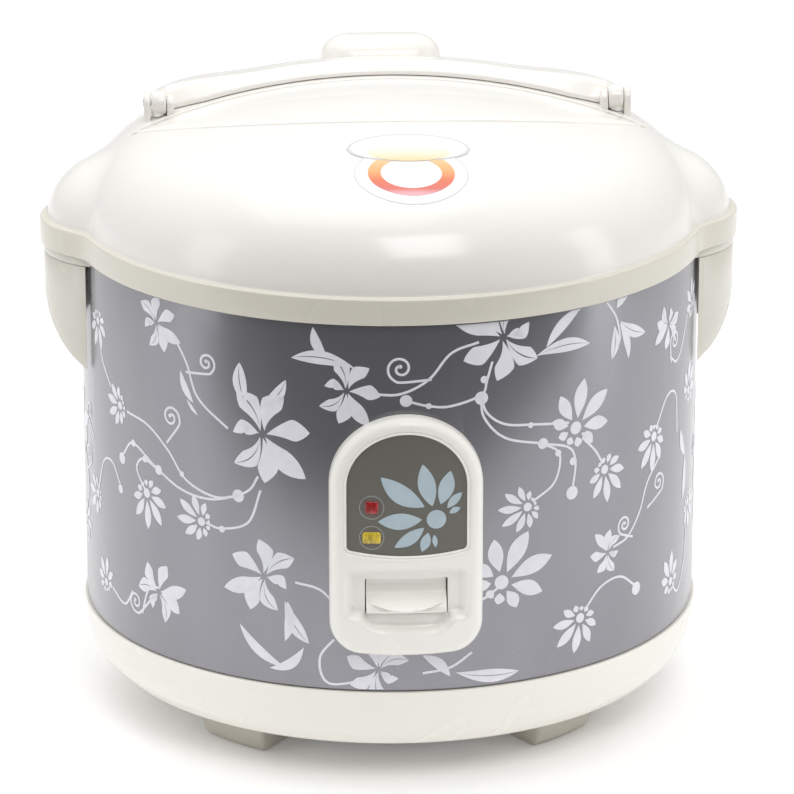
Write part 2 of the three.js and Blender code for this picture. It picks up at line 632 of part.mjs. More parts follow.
function makeReleasePlate() {
  const wide = dome(0, 200);
  const reach = box([-PLATE_END, PLATE_END], [-60, 60], [230, 300]);
  const lens = prism(lensShape(-1.2), 240, 290).intersect(reach);
  const plate = cut(lens.intersect(wide), wide.translate([0, 0, -WALL]));
  const post = upright(3.5, 0, -30, 251.8, 269, 12);
  add("release_plate", plate.add(post), "white");

  const { y, z } = LATCH;
  const arm = [
    [-124, 199], [-118.5, 199], [-121, 203], [-121, 224.5], [y, 225.5],
    [-26, 248.3], [-26, 251.2], [y, z + 3.4], [-124, 227.5],
  ];
  const bore = crosswise(1.7, [-20, 20], y, z, 12);
  add("latch_hook", sidePrism(arm, -5.5, 5.5).subtract(bore), "white");
  add("latch_pin", crosswise(1.6, [-13, 13], y, z, 12), "steel");
  const spring = coil(3.6, 0.5, 3, 224.3, 229.4).translate([0, -90, 0]);
  add("latch_spring", spring, "steel");
}

function makeHandle() {
  const { y, z, out, rear } = HANDLE;
  const wide = dome(0, 200);
  const steps = 12;
  const points = [];
  for (let i = 0; i <= steps; i++) {
    const x = out * (1 - (2 * i) / steps);
    points.push(new THREE.Vector2(x, y + (rear - y) * Math.sqrt(1 - (x / (out + 3)) ** 2)));
  }
  points.push(new THREE.Vector2(-out, y), new THREE.Vector2(out, y));
  const outline = prism(new THREE.Shape(points), 230, 300);
  const arms = both((side) => box(spanX(side, HANDLE.in, out), [y, y + 20], [230, 300]));
  const strap = cut(outline, prism(lensShape(HANDLE.front), 220, 310)).add(arms.intersect(outline));
  const lugRoom = both((side) => box(spanX(side, 80, HANDLE.in), [0, y + 5.6], [230, 300]));
  const top = wide.translate([0, 0, HANDLE.rise]);
  const bow = cut(strap.intersect(top), wide.translate([0, 0, 0.6]), lugRoom);
  const discs = both((side) => crosswise(HANDLE.r, spanX(side, HANDLE.in, out), y, z, 20));
  const bore = crosswise(1.7, [-110, 110], y, z, 12);
  add("carry_handle", cut(bow.add(discs), bore), "cream");
  for (const side of [-1, 1]) {
    const name = side < 0 ? "handle_pin_left" : "handle_pin_right";
    add(name, crosswise(1.6, spanX(side, 93.6, 106.4), y, z, 12), "steel");
  }
}

// ---- hinge ----
function makeHinge() {
  add("hinge_pin", crosswise(HINGE.pin, [-34, 34], HINGE.y, HINGE.z, 12), "steel");
  const spring = coil(2.1, 0.4, 4, -5.8, 5.8).rotate([0, 90, 0]);
  add("hinge_spring", spring.translate([0, HINGE.y, HINGE.z]), "steel");
  const shell = box([-38, 38], [130, BACK_Y], [178, 207.6]);
  const inside = box([-35.5, 35.5], [125, BACK_Y - 1.6], [180.5, 212]);
  const cover = cut(shell, inside, disc(BODY_R + GAP, 170, 220, 128));
  add("hinge_cover", cover, "cream");
}

makeBase();
makeBaseScrews();
makeFeet();
makeBodyShell();
makeUpperRing();
makeSideGrips();
makeHousing();
makePot();
makeHeaters();
makeThermostat();
makeSwitchGear();
makePanel();
makeInlet();
makeLeads();
makeLidShell();
makeLidInside();
makeVent();
makeReleasePlate();
makeHandle();
makeHinge();

export default cooker;
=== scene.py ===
# A jar-type electric rice cooker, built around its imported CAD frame.
# Shapes are worked out in millimetres and turned into metres when a mesh is made.
# +Z is up, -Y is the front, and the body's axis is the Z axis, as in the frame.
import json
import math

import bmesh
import bpy
import numpy as np
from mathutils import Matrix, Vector
from mathutils.geometry import delaunay_2d_cdt


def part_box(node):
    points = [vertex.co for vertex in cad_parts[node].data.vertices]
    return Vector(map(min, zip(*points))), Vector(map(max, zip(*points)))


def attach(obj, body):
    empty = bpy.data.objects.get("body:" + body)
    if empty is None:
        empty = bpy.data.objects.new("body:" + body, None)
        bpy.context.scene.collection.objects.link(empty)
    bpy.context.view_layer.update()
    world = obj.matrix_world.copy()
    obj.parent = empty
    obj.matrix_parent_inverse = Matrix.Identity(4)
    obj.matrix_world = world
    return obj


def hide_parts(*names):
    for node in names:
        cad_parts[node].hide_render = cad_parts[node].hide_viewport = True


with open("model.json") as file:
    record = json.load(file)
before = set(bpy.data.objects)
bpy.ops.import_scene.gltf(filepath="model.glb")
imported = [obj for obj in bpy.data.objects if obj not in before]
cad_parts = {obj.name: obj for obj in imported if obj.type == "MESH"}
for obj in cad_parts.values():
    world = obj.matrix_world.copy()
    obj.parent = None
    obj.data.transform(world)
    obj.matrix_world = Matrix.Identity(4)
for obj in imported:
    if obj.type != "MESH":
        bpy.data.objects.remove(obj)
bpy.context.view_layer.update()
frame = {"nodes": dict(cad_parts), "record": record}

MM = 0.001
TURN = 2 * math.pi
SHARP = 38  # degrees above which an edge is shaded sharp


# ---- sizes, from the frame ----
def span(node):
    low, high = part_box(node)
    return np.array(low) / MM, np.array(high) / MM


SHEET_LOW, SHEET_HIGH = span("body_shell")
BODY_R = SHEET_HIGH[0]  # printed sheet, outside
SEAM_Z = SHEET_LOW[2]  # where the sheet meets the base
LID_LOW, LID_HIGH = span("lid_outer_shell")
RIM_Z = LID_LOW[2]  # underside of the lid's band
EAR_R = 38.0  # round outline of each ear
EAR_X = LID_HIGH[0] - EAR_R  # and its centre
BAND_R = BODY_R + 2.3  # lid's band
BAND_TOP = RIM_Z + 11.5
FACE_R = 143.5  # front face of the control panel
BACK_Y = span("hinge_cover")[1][1]
CAP_TOP = span("steam_vent_cap")[1][2]

APEX = 271.5  # top of the lid's dome
CAP_R = 400.0  # its radius of curvature
CAP_EDGE = 104.0  # where the cap turns into the shoulder
FOOT_R = 134.9  # foot of the dome
FOOT_Z = BAND_TOP + 0.5
LEAN = math.radians(5)  # of the foot from upright
LOBE_HALF = np.array([34.6, 35.4, 28.0])  # domed cover of each ear
LOBE_Z = 219.0
LENS_END = 113.0  # lens-shaped recess across the lid: half length,
LENS_FRONT = 40.0  # depth of its front arc,
LENS_REAR = 32.0  # depth of its rear arc,
LENS_DEPTH = 7.0  # and how deep it is sunk
VENT_Y = 78.0  # steam vent
HANDLE_Y, HANDLE_Z = 16.0, 264.5  # carry handle's pivot
HINGE_Y, HINGE_Z = 140.0, 213.0


# ---- outlines ----
def rounded(corners, steps=5):
    """Closed outline with rounded corners (x, y, radius); one without a radius stays sharp."""
    points = []
    count = len(corners)
    for i, corner in enumerate(corners):
        here = np.array(corner[:2], float)
        if len(corner) < 3:
            points.append(here)
            continue
        before = np.array(corners[i - 1][:2], float) - here
        after = np.array(corners[(i + 1) % count][:2], float) - here
        room = 0.49 * min(np.linalg.norm(before), np.linalg.norm(after))
        before /= np.linalg.norm(before)
        after /= np.linalg.norm(after)
        half = math.acos(np.clip(before @ after, -1, 1)) / 2
        reach = min(corner[2] / math.tan(half), room)
        radius = reach * math.tan(half)
        middle = (before + after) / np.linalg.norm(before + after)
        centre = here + middle * radius / math.sin(half)
        start = here + before * reach - centre
        end = here + after * reach - centre
        first = math.atan2(start[1], start[0])
        sweep = (math.atan2(end[1], end[0]) - first + math.pi) % TURN - math.pi
        for k in range(steps + 1):
            angle = first + sweep * k / steps
            points.append(centre + radius * np.array([math.cos(angle), math.sin(angle)]))
    return np.array(points)


def counterclockwise(outline):
    x, y = outline[:, 0], outline[:, 1]
    area = np.sum(x * np.roll(y, -1) - np.roll(x, -1) * y)
    return outline if area > 0 else outline[::-1]


def inset(outline, amount):
    """A counterclockwise outline moved inwards by amount, point by point."""
    along = np.roll(outline, -1, 0) - outline
    along /= np.maximum(np.linalg.norm(along, axis=1), 1e-9)[:, None]
    normal = np.stack([-along[:, 1], along[:, 0]], 1)
    before = np.roll(normal, 1, 0)
    share = np.maximum(1 + np.sum(normal * before, 1), 0.3)
    return outline + amount * (normal + before) / share[:, None]


def resampled(outline, step):
    """The same closed outline with points about one step apart."""
    points = []
    for here, there in zip(outline, np.roll(outline, -1, 0)):
        pieces = max(1, round(np.linalg.norm(there - here) / step))
        for k in range(pieces):
            points.append(here + (there - here) * k / pieces)
    return np.array(points)


def rectangle(left, right, low, high, radius, steps=5):
    corners = [(left, low, radius), (right, low, radius), (right, high, radius), (left, high, radius)]
    return rounded(corners, steps)


def circle(radius, sides, centre=(0, 0)):
    angle = np.arange(sides) * TURN / sides
    return np.stack([centre[0] + radius * np.cos(angle), centre[1] + radius * np.sin(angle)], 1)


def quarter(radius, count):
    """Steps round a quarter circle: what is left to go across it, and what has been gone along it."""
    turns = np.linspace(0, math.pi / 2, count)
    return [(radius * (1 - math.sin(turn)), radius * (1 - math.cos(turn))) for turn in turns]


def smooth_step(value):
    value = np.clip(value, 0, 1)
    return value * value * (3 - 2 * value)


def smooth_min(a, b, width):
    share = np.maximum(width - np.abs(a - b), 0) / width
    return np.minimum(a, b) - share * share * width / 4


# ---- meshes ----
def skin(loops, closed_rows=True, start=None, end=None):
    """Faces between loops of points that all have the same count, with a centre point for either end."""
    loops = [np.asarray(loop, float) for loop in loops]
    columns = len(loops[0])
    points = list(np.concatenate(loops))
    faces = []
    across = columns if closed_rows else columns - 1
    for i in range(len(loops) - 1):
        for j in range(across):
            k = (j + 1) % columns
            faces.append((i * columns + j, i * columns + k, (i + 1) * columns + k, (i + 1) * columns + j))
    for centre, row in ((start, 0), (end, len(loops) - 1)):
        if centre is None:
            continue
        points.append(np.array(centre, float))
        tip = len(points) - 1
        for j in range(columns):
            k = (j + 1) % columns
            ends = (row * columns + j, row * columns + k)
            faces.append((tip, ends[1], ends[0]) if row == 0 else (tip, ends[0], ends[1]))
    return points, faces


def turned(outline, sides=192):
    """A closed outline of (radius, height) turned about the Z axis."""
    angle = np.arange(sides) * TURN / sides
    loops = []
    for radius, height in [*outline, outline[0]]:
        loops.append(np.stack([radius * np.cos(angle), radius * np.sin(angle), np.full(sides, height)], 1))
    return skin(loops)


def as_drawn(u, v, w):
    return u, v, w


def along_x(u, v, w):
    return w, u, v


def along_y(u, v, w):
    return u, w, v


def capped(loops):
    """A skin whose first and last loops are closed by flat faces."""
    points, faces = skin(loops)
    count = len(loops[0])
    faces += [tuple(reversed(range(count))), tuple(range(len(points) - count, len(points)))]
    return points, faces


def stacked(outline, rows, lay=as_drawn):
    """A solid from rows of (inset, height) of one outline, laid along an axis."""
    outline = counterclockwise(outline)
    loops = []
    for amount, height in rows:
        loop = inset(outline, amount)
        loops.append(np.stack(lay(loop[:, 0], loop[:, 1], np.full(len(loop), float(height))), 1))
    return capped(loops)


def slab(outline, low, high, edge, lay=as_drawn):
    """An outline pulled from low to high with rounded edges."""
    rows = [(left, low + gone) for left, gone in quarter(edge, 4)]
    rows += [(gone, high - left) for left, gone in quarter(edge, 4)]
    return stacked(outline, rows, lay)


def tray(outline, wall, low, high, floor, edge):
    """An open box: an outer wall from low to high, and an inner wall down to floor."""
    rows = [(edge, low), (0.3 * edge, low + 0.3 * edge), (0, low + edge)]
    rows += [(0, high - 0.4), (0.4, high), (wall - 0.4, high), (wall, high - 0.4)]
    rows += [(wall, floor + 0.5), (wall + 0.5, floor)]
    return stacked(outline, rows)


def ring(centre, along, side, radius, sides):
    """Points of a circle round centre, square to along and starting at side."""
    up = along.cross(side)
    turns = np.arange(sides) * TURN / sides
    return [tuple(centre + (side * math.cos(a) + up * math.sin(a)) * radius) for a in turns]


def bar(radius, start, end, sides=24, edge=0.3):
    """A round bar between two points, with broken edges."""
    start, end = Vector(start), Vector(end)
    along = (end - start).normalized()
    side = along.orthogonal().normalized()
    length = (end - start).length
    rows = ((radius - edge, 0), (radius, edge), (radius, length - edge), (radius - edge, length))
    loops = [ring(start + along * far, along, side, r, sides) for r, far in rows]
    return skin(loops, start=tuple(start), end=tuple(end))


def wire(path, radius, sides=8):
    """A round wire along a list of points."""
    path = [Vector(p) for p in path]
    loops = []
    side = None
    for i, here in enumerate(path):
        along = (path[min(i + 1, len(path) - 1)] - path[max(i - 1, 0)]).normalized()
        side = (along.orthogonal() if side is None else side - along * side.dot(along)).normalized()
        loops.append(ring(here, along, side, radius, sides))
    return skin(loops, start=tuple(path[0]), end=tuple(path[-1]))


def coil(radius, gauge, turns, low, high, lay, per_turn=24):
    """A spring of round wire, wound along its own w axis."""
    path = []
    for i in range(turns * per_turn + 1):
        angle = TURN * i / per_turn
        height = low + gauge + (high - low - 2 * gauge) * i / (turns * per_turn)
        path.append(lay(radius * math.cos(angle), radius * math.sin(angle), height))
    return wire(path, gauge)


def joined(*shapes):
    points = []
    faces = []
    for more_points, more_faces in shapes:
        base = len(points)
        points.extend(more_points)
        faces.extend(tuple(base + i for i in face) for face in more_faces)
    return points, faces


def moved(shape, dx, dy=0.0):
    points, faces = shape
    return [np.asarray(p, float) + np.array([dx, dy, 0.0]) for p in points], faces


def spun(shape, degrees):
    points, faces = shape
    c, s = math.cos(math.radians(degrees)), math.sin(math.radians(degrees))
    return [np.array([p[0] * c - p[1] * s, p[0] * s + p[1] * c, p[2]]) for p in points], faces


def mirrored(side, low, high):
    """A stretch of X on the right side, or the same stretch on the left."""
    return (low, high) if side > 0 else (-high, -low)


def around(radius, degrees):
    """Point (x, y) at a radius from the body's axis."""
    return radius * math.cos(math.radians(degrees)), radius * math.sin(math.radians(degrees))


def block(x, y, z):
    """A plain box, used only to cut with."""
    points = [(i, j, k) for k in z for j in y for i in x]
    faces = [(0, 2, 3, 1), (4, 5, 7, 6), (0, 1, 5, 4), (2, 6, 7, 3), (0, 4, 6, 2), (1, 3, 7, 5)]
    return points, faces


def mesh_object(name, shape, sharp=SHARP):
    """A clean mesh whose edges stay sharp above an angle in degrees."""
    points, faces = shape
    mesh = bpy.data.meshes.new(name)
    mesh.from_pydata([tuple(float(c) * MM for c in p) for p in points], [], faces)
    work = bmesh.new()
    work.from_mesh(mesh)
    bmesh.ops.remove_doubles(work, verts=work.verts, dist=1e-6)
    bmesh.ops.dissolve_degenerate(work, edges=work.edges, dist=1e-7)
    bmesh.ops.recalc_face_normals(work, faces=work.faces)
    work.to_mesh(mesh)
    work.free()
    mesh.shade_smooth()
    mesh.set_sharp_from_angle(angle=math.radians(sharp))
    piece = bpy.data.objects.new(name, mesh)
    bpy.context.scene.collection.objects.link(piece)
    return piece


def carve(piece, *cutters, sharp=SHARP):
    """Cuts solid shapes out of a piece."""
    for shape in cutters:
        cutter = mesh_object(piece.name + ".cutter", shape)
        change = piece.modifiers.new("carve", "BOOLEAN")
        change.operation = "DIFFERENCE"
        change.solver = "EXACT"
        change.object = cutter
        apply_modifiers(piece)
        bpy.data.objects.remove(cutter)
    piece.data.set_sharp_from_angle(angle=math.radians(sharp))


def apply_modifiers(piece):
    graph = bpy.context.evaluated_depsgraph_get()
    graph.update()
    changed = bpy.data.meshes.new_from_object(piece.evaluated_get(graph))
    piece.modifiers.clear()
    old = piece.data
    piece.data = changed
    bpy.data.meshes.remove(old)


def thicken(piece, amount):
    """Gives a sheet of faces a thickness, measured inwards."""
    change = piece.modifiers.new("thicken", "SOLIDIFY")
    change.thickness = amount * MM
    change.offset = -1
    apply_modifiers(piece)
    piece.data.set_sharp_from_angle(angle=math.radians(SHARP))


def place(piece, body, material, slot, *nodes):
    """Gives a piece its material, the body it rides and the CAD nodes it replaces; slot is not used."""
    piece.data.materials.clear()
    piece.data.materials.append(MATERIALS[material])
    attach(piece, body)
    if nodes:
        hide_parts(*nodes)
    return piece


def make(name, shape, body, material, slot, *nodes, sharp=SHARP):
    """A finished piece in one call."""
    return place(mesh_object(name, shape, sharp), body, material, slot, *nodes)


# ---- materials ----
def tone(red, green, blue):
    """A screen colour, 0 to 255, as the shader's linear colour."""
    linear = []
    for value in (red, green, blue):
        share = value / 255
        linear.append(share / 12.92 if share <= 0.04045 else ((share + 0.055) / 1.055) ** 2.4)
    return (*linear, 1.0)


class Finish:
    """A material under construction, with its shader and the object's own coordinates."""

    def __init__(self, name):
        self.material = bpy.data.materials.new(name)
        self.material.use_nodes = True
        self.tree = self.material.node_tree
        self.shader = self.tree.nodes["Principled BSDF"]
        self.where = self.tree.nodes.new("ShaderNodeTexCoord").outputs["Object"]

    def link(self, source, target):
        self.tree.links.new(source, target)

    def noise(self, scale, detail=3.0, stretch=(1, 1, 1)):
        mapping = self.tree.nodes.new("ShaderNodeMapping")
        mapping.inputs["Scale"].default_value = stretch
        self.link(self.where, mapping.inputs["Vector"])
        node = self.tree.nodes.new("ShaderNodeTexNoise")
        node.inputs["Scale"].default_value = scale
        node.inputs["Detail"].default_value = detail
        self.link(mapping.outputs["Vector"], node.inputs["Vector"])
        return node.outputs["Fac"]

    def ramp(self, factor, *stops):
        node = self.tree.nodes.new("ShaderNodeValToRGB")
        elements = node.color_ramp.elements
        while len(elements) < len(stops):
            elements.new(0.5)
        for element, (position, colour) in zip(elements, stops):
            element.position = position
            element.color = colour
        self.link(factor, node.inputs["Fac"])
        return node.outputs["Color"]

    def between(self, value, start, stop, low=0.0, high=1.0):
        """A node that goes from low to high while value goes from start to stop."""
        node = self.tree.nodes.new("ShaderNodeMapRange")
        ends = {"From Min": start, "From Max": stop, "To Min": low, "To Max": high}
        for name, number in ends.items():
            node.inputs[name].default_value = number
        self.link(value, node.inputs["Value"])
        return node

    def bump(self, height, strength, distance):
        node = self.tree.nodes.new("ShaderNodeBump")
        node.inputs["Strength"].default_value = strength
        node.inputs["Distance"].default_value = distance * MM
        self.link(height, node.inputs["Height"])
        self.link(node.outputs["Normal"], self.shader.inputs["Normal"])

    def coloured(self, factor, colour, spread, low=0.3, high=0.7, blue_shift=0):
        """Base colour that goes from slightly darker to the colour itself."""
        red, green, blue = colour
        dark = tone(red - spread, green - spread, blue - spread + blue_shift)
        self.link(self.ramp(factor, (low, dark), (high, tone(*colour))), self.shader.inputs["Base Color"])

    def rough(self, factor, low, high):
        self.link(self.between(factor, 0, 1, low, high).outputs["Result"], self.shader.inputs["Roughness"])

    def axis(self, name):
        """The object's own X or Y, in metres."""
        split = self.tree.nodes.new("ShaderNodeSeparateXYZ")
        self.link(self.where, split.inputs["Vector"])
        return split.outputs[name]

    def set(self, **values):
        for name, value in values.items():
            self.shader.inputs[name.replace("_", " ")].default_value = value


def moulded(name, colour, roughness=0.28, spread=5, grain=0.05, coat=0.25, sss=0.0):
    """Moulded plastic: faint cloudiness in colour and gloss, and a fine grain."""
    finish = Finish(name)
    finish.coloured(finish.noise(13, 0.5), colour, spread, 0.15, 0.85, -1)
    finish.rough(finish.noise(30, 1), roughness - 0.05, roughness + 0.05)
    finish.bump(finish.noise(900, 2), grain, 0.05)
    finish.set(Coat_Weight=coat, Coat_Roughness=0.12, IOR=1.49)
    finish.set(Subsurface_Weight=sss, Subsurface_Scale=0.004)
    return finish.material


def metal(name, colour, roughness=0.32, stretch=(1, 1, 14), spread=14, grain=0.12):
    """Drawn or brushed metal: fine scratches along one direction."""
    finish = Finish(name)
    scratches = finish.noise(260, 5, stretch)
    finish.coloured(scratches, colour, spread, 0.35, 0.65)
    finish.rough(scratches, roughness - 0.08, roughness + 0.1)
    finish.bump(scratches, grain, 0.03)
    finish.set(Metallic=1.0)
    return finish.material


def printed_sheet():
    """Lacquered grey steel: a drawn, upright grain under a clear glossy coat."""
    finish = Finish("printed_sheet")
    upright = (1, 1, 0.3)
    finish.coloured(finish.noise(40, 1, upright), (149, 148, 154), 8, 0.15, 0.85)
    finish.rough(finish.noise(20, 1), 0.25, 0.31)
    finish.bump(finish.noise(9, 0, upright), 0.08, 0.2)
    finish.set(Metallic=0.72, Coat_Weight=0.5, Coat_Roughness=0.08)
    return finish.material


def ink(name, colour, spread=7):
    finish = Finish(name)
    finish.coloured(finish.noise(160, 4), colour, spread, 0.35, 0.65, 2)
    finish.rough(finish.noise(300, 2), 0.3, 0.42)
    finish.set(Coat_Weight=0.3, Coat_Roughness=0.1)
    return finish.material


def rubber(name, colour, roughness):
    finish = Finish(name)
    finish.coloured(finish.noise(120, 4), colour, 14)
    finish.rough(finish.noise(400, 3), roughness - 0.08, roughness + 0.1)
    finish.bump(finish.noise(1400, 2), 0.25, 0.08)
    return finish.material


def lens_plastic(name, colour, glow):
    """A tinted lamp lens, ribbed faintly, and deeper in colour where it is thick."""
    finish = Finish(name)
    ribs = finish.noise(700, 2, (1, 1, 0.3))
    deep = tone(*[int(value * 0.7) for value in colour])
    base = finish.ramp(ribs, (0.35, deep), (0.65, tone(*colour)))
    finish.link(base, finish.shader.inputs["Base Color"])
    finish.rough(ribs, 0.12, 0.22)
    finish.bump(ribs, 0.2, 0.08)
    finish.set(Coat_Weight=0.6, Coat_Roughness=0.04)
    finish.set(Emission_Color=tone(*colour), Emission_Strength=glow)
    return finish.material


def graded_print(name, low, high, coat, *stops):
    """Printed colour that changes up the lid's sticker, between low and high in Y."""
    finish = Finish(name)
    height = finish.between(finish.axis("Y"), low * MM, high * MM)
    finish.link(finish.ramp(height.outputs["Result"], *stops), finish.shader.inputs["Base Color"])
    finish.rough(finish.noise(200, 3), 0.25, 0.35)
    finish.set(Coat_Weight=coat, Coat_Roughness=0.08)
    return finish.material


def floor_with_painted_shade():
    """White paper near the object, with painted shade that darkens the floor in front of it and weakens to
    the right; the floor also glows faintly in this painted colour.
    """
    finish = Finish("floor")
    rightwards = finish.between(finish.axis("X"), 0, 0.6, 0, 0.24)
    together = finish.tree.nodes.new("ShaderNodeMath")
    finish.link(finish.axis("Y"), together.inputs[0])
    finish.link(rightwards.outputs["Result"], together.inputs[1])
    reach = finish.between(together.outputs["Value"], -0.6, -0.25)
    reach.interpolation_type = "SMOOTHSTEP"
    # painted shade: the floor's colour goes from dark grey in front of the object to white near it
    colour = finish.ramp(reach.outputs["Result"], (0.0, tone(70, 70, 72)), (1.0, tone(250, 250, 250)))
    finish.link(colour, finish.shader.inputs["Base Color"])
    # painted light: the floor glows faintly in the same painted colour and so lights the object from below
    finish.link(colour, finish.shader.inputs["Emission Color"])
    finish.rough(finish.noise(3, 3), 0.55, 0.65)
    finish.set(Emission_Strength=0.08)
    return finish.material


MATERIALS = {
    "lid": moulded("lid_plastic", (246, 243, 238), 0.2, 3, 0.03, 0.4, 0.05),
    # darker beige for the lid's band: partly the band's own tint, partly painted shade under the dome
    "band": moulded("band_tint_and_painted_shade", (226, 222, 210), 0.26, 4),
    "trim": moulded("trim_plastic", (224, 221, 210), 0.27, 4),
    "base": moulded("base_plastic", (251, 248, 240), 0.26, 4),
    "panel": moulded("panel_plastic", (253, 251, 245), 0.26, 4),
    "foot": moulded("foot_plastic", (206, 201, 190), 0.5, 8, 0.2, 0.0),
    "inner": moulded("inner_plastic", (238, 236, 228), 0.35, 5),
    "black": moulded("black_plastic", (34, 34, 36), 0.45, 5, 0.2, 0.0),
    "inlay": moulded("inlay_print", (110, 108, 101), 0.34, 6, 0.06, 0.25),
    "sheet": printed_sheet(),
    "ink": ink("print_ink", (238, 238, 244)),
    "blue_ink": ink("petal_ink", (190, 206, 214)),
    "ring_ink": ink("lamp_ring_ink", (160, 160, 156)),
    # painted shade: warm dark colour for the disc round each lamp lens
    "lamp_shade": ink("lamp_painted_shade", (112, 104, 97)),
    "sticker": ink("sticker_white", (250, 249, 247), 3),
    "sticker_edge": ink("sticker_edge", (214, 214, 214), 4),
    "sticker_ring": graded_print(
        "sticker_ring", -108, -74, 0.4, (0.0, tone(236, 178, 184)), (0.1, tone(222, 110, 100)),
        (0.3, tone(228, 112, 70)), (0.55, tone(238, 172, 104)), (0.95, tone(247, 212, 158)),
    ),
    "banner_glow": graded_print(
        "banner_glow", -82, -66, 0.0, (0.0, tone(247, 214, 164)), (0.45, tone(250, 234, 208)),
        (1.0, tone(250, 248, 244)),
    ),
    "pot": metal("pot_aluminium", (196, 198, 200), 0.3, (14, 14, 1)),
    "housing": metal("housing_aluminium", (184, 186, 188), 0.36),
    "steel": metal("zinc_steel", (186, 189, 193), 0.33, (1, 1, 1)),
    "brass": metal("brass_contacts", (201, 165, 82), 0.28, (1, 1, 1)),
    "ferrite": rubber("magnet_ferrite", (72, 72, 76), 0.5),
    "gasket": rubber("gasket_rubber", (216, 213, 204), 0.55),
    "sleeve": rubber("lead_sleeve", (232, 230, 224), 0.5),
    "red": lens_plastic("red_lens", (190, 34, 38), 0.05),
    "amber": lens_plastic("amber_lens", (226, 198, 62), 0.1),
    "glass": lens_plastic("lamp_glass", (216, 224, 228), 0.0),
    "floor": floor_with_painted_shade(),
}

# The CAD nodes that are shown as they are get these, by their material slot.
CARRIED = {
    "inner_plastic": "inner", "housing_aluminium": "housing", "zinc_steel": "steel",
    "brass_contacts": "brass", "magnet_ferrite": "ferrite", "black_plastic": "black",
    "lead_sleeve": "sleeve", "lamp_glass": "glass",
}




# ---- lid surface ----
CAP_ANGLE = math.asin(CAP_EDGE / CAP_R)
FOOT_ANGLE = math.pi / 2 - LEAN
CAP_DROP = CAP_R * (1 - math.cos(CAP_ANGLE))


def shoulder_radius():
    """Radius of the shoulder arc that meets both the cap and the leaning foot without a corner."""
    height = APEX - CAP_DROP - FOOT_Z
    reach = math.sin(FOOT_ANGLE) - math.sin(CAP_ANGLE)
    fall = math.cos(CAP_ANGLE) - math.cos(FOOT_ANGLE)
    lean = math.tan(LEAN)
    return (FOOT_R - CAP_EDGE - height * lean) / (reach - fall * lean)


SHOULDER_R = shoulder_radius()
SHOULDER_X = CAP_EDGE - SHOULDER_R * math.sin(CAP_ANGLE)
SHOULDER_Z = APEX - CAP_DROP - SHOULDER_R * math.cos(CAP_ANGLE)


def dome_profile():
    """Points (radius, height) of the dome from its foot to its top, and their distance along it."""
    angle = np.linspace(FOOT_ANGLE, CAP_ANGLE, 60)
    shoulder = np.stack(
        [SHOULDER_X + SHOULDER_R * np.sin(angle), SHOULDER_Z + SHOULDER_R * np.cos(angle)], 1
    )
    angle = np.linspace(CAP_ANGLE, 0, 80)[1:]
    cap = np.stack([CAP_R * np.sin(angle), APEX - CAP_R + CAP_R * np.cos(angle)], 1)
    points = np.concatenate([[[FOOT_R, FOOT_Z]], shoulder, cap])
    steps = np.linalg.norm(np.diff(points, axis=0), axis=1)
    return points, np.concatenate([[0], np.cumsum(steps)])


PROFILE, PROFILE_S = dome_profile()


def dome_height(radius):
    return np.interp(-np.asarray(radius, float), -PROFILE[:, 0], PROFILE[:, 1])


def dome_distance(r, z):
    across, up = r - SHOULDER_X, z - SHOULDER_Z
    angle = np.arctan2(across, up)
    shoulder = np.hypot(across, up) - SHOULDER_R
    cap = np.hypot(r, z - (APEX - CAP_R)) - CAP_R
    wall = across * math.sin(FOOT_ANGLE) + up * math.cos(FOOT_ANGLE) - SHOULDER_R
    return np.where(angle > FOOT_ANGLE, wall, np.where(angle < CAP_ANGLE, cap, shoulder))


def lobe_distance(x, y, z):
    offset = np.stack([np.abs(x) - EAR_X, y, z - LOBE_Z], -1)
    near = np.linalg.norm(offset / LOBE_HALF, axis=-1)
    slope = np.linalg.norm(offset / LOBE_HALF**2, axis=-1)
    return near * (near - 1) / np.maximum(slope, 1e-6)


def lid_distance(point):
    x, y, z = point[..., 0], point[..., 1], point[..., 2]
    return smooth_min(dome_distance(np.hypot(x, y), z), lobe_distance(x, y, z), 5.0)


def lid_surface(angle, rise):
    """Outermost point of the lid's top along each ray from the axis at the height of the band's top.

    The search walks inwards from outside the lid, and then halves the last step.
    """
    direction = np.stack([np.cos(rise) * np.cos(angle), np.cos(rise) * np.sin(angle), np.sin(rise)], -1)
    origin = np.array([0, 0, BAND_TOP])
    far = np.full(angle.shape, 176.0)
    step = 2.0
    for _ in range(72):
        outside = lid_distance(origin + direction * far[..., None]) > 0
        far = np.where(outside, far - step, far)
    near = far
    far = far + step
    for _ in range(24):
        middle = (near + far) / 2
        outside = lid_distance(origin + direction * middle[..., None]) > 0
        far = np.where(outside, middle, far)
        near = np.where(outside, near, middle)
    return origin + direction * near[..., None]


def lid_normal(point):
    """Direction out of the lid's top at a point on it."""
    reach = 0.4
    slopes = []
    for axis in np.eye(3):
        slopes.append(lid_distance(point + reach * axis) - lid_distance(point - reach * axis))
    normal = np.stack(slopes, -1)
    return normal / np.linalg.norm(normal, axis=-1)[..., None]


def lens_radius(angle, grow):
    """Distance from the axis to the edge of the lens-shaped recess, grown by some amount."""
    reach = LENS_END + grow
    nearest = None
    for side, depth in ((-1, LENS_FRONT), (1, LENS_REAR)):
        sag = depth + grow
        radius = (reach**2 + sag**2) / (2 * sag)
        centre = side * (sag - radius)
        along = np.sin(angle) * centre
        edge = along + np.sqrt(along**2 + radius**2 - centre**2)
        nearest = edge if nearest is None else np.minimum(nearest, edge)
    return nearest


def band_radius(angle, amount):
    """Distance from the axis to the outline of the band and ears, set in by some amount."""
    near = np.full(angle.shape, 90.0)
    far = np.full(angle.shape, 160.0)
    for _ in range(30):
        middle = (near + far) / 2
        x, y = middle * np.cos(angle), middle * np.sin(angle)
        outline = smooth_min(np.hypot(x, y) - BAND_R, np.hypot(np.abs(x) - EAR_X, y) - EAR_R, 5.0)
        outside = outline > -amount
        far = np.where(outside, middle, far)
        near = np.where(outside, near, middle)
    return near


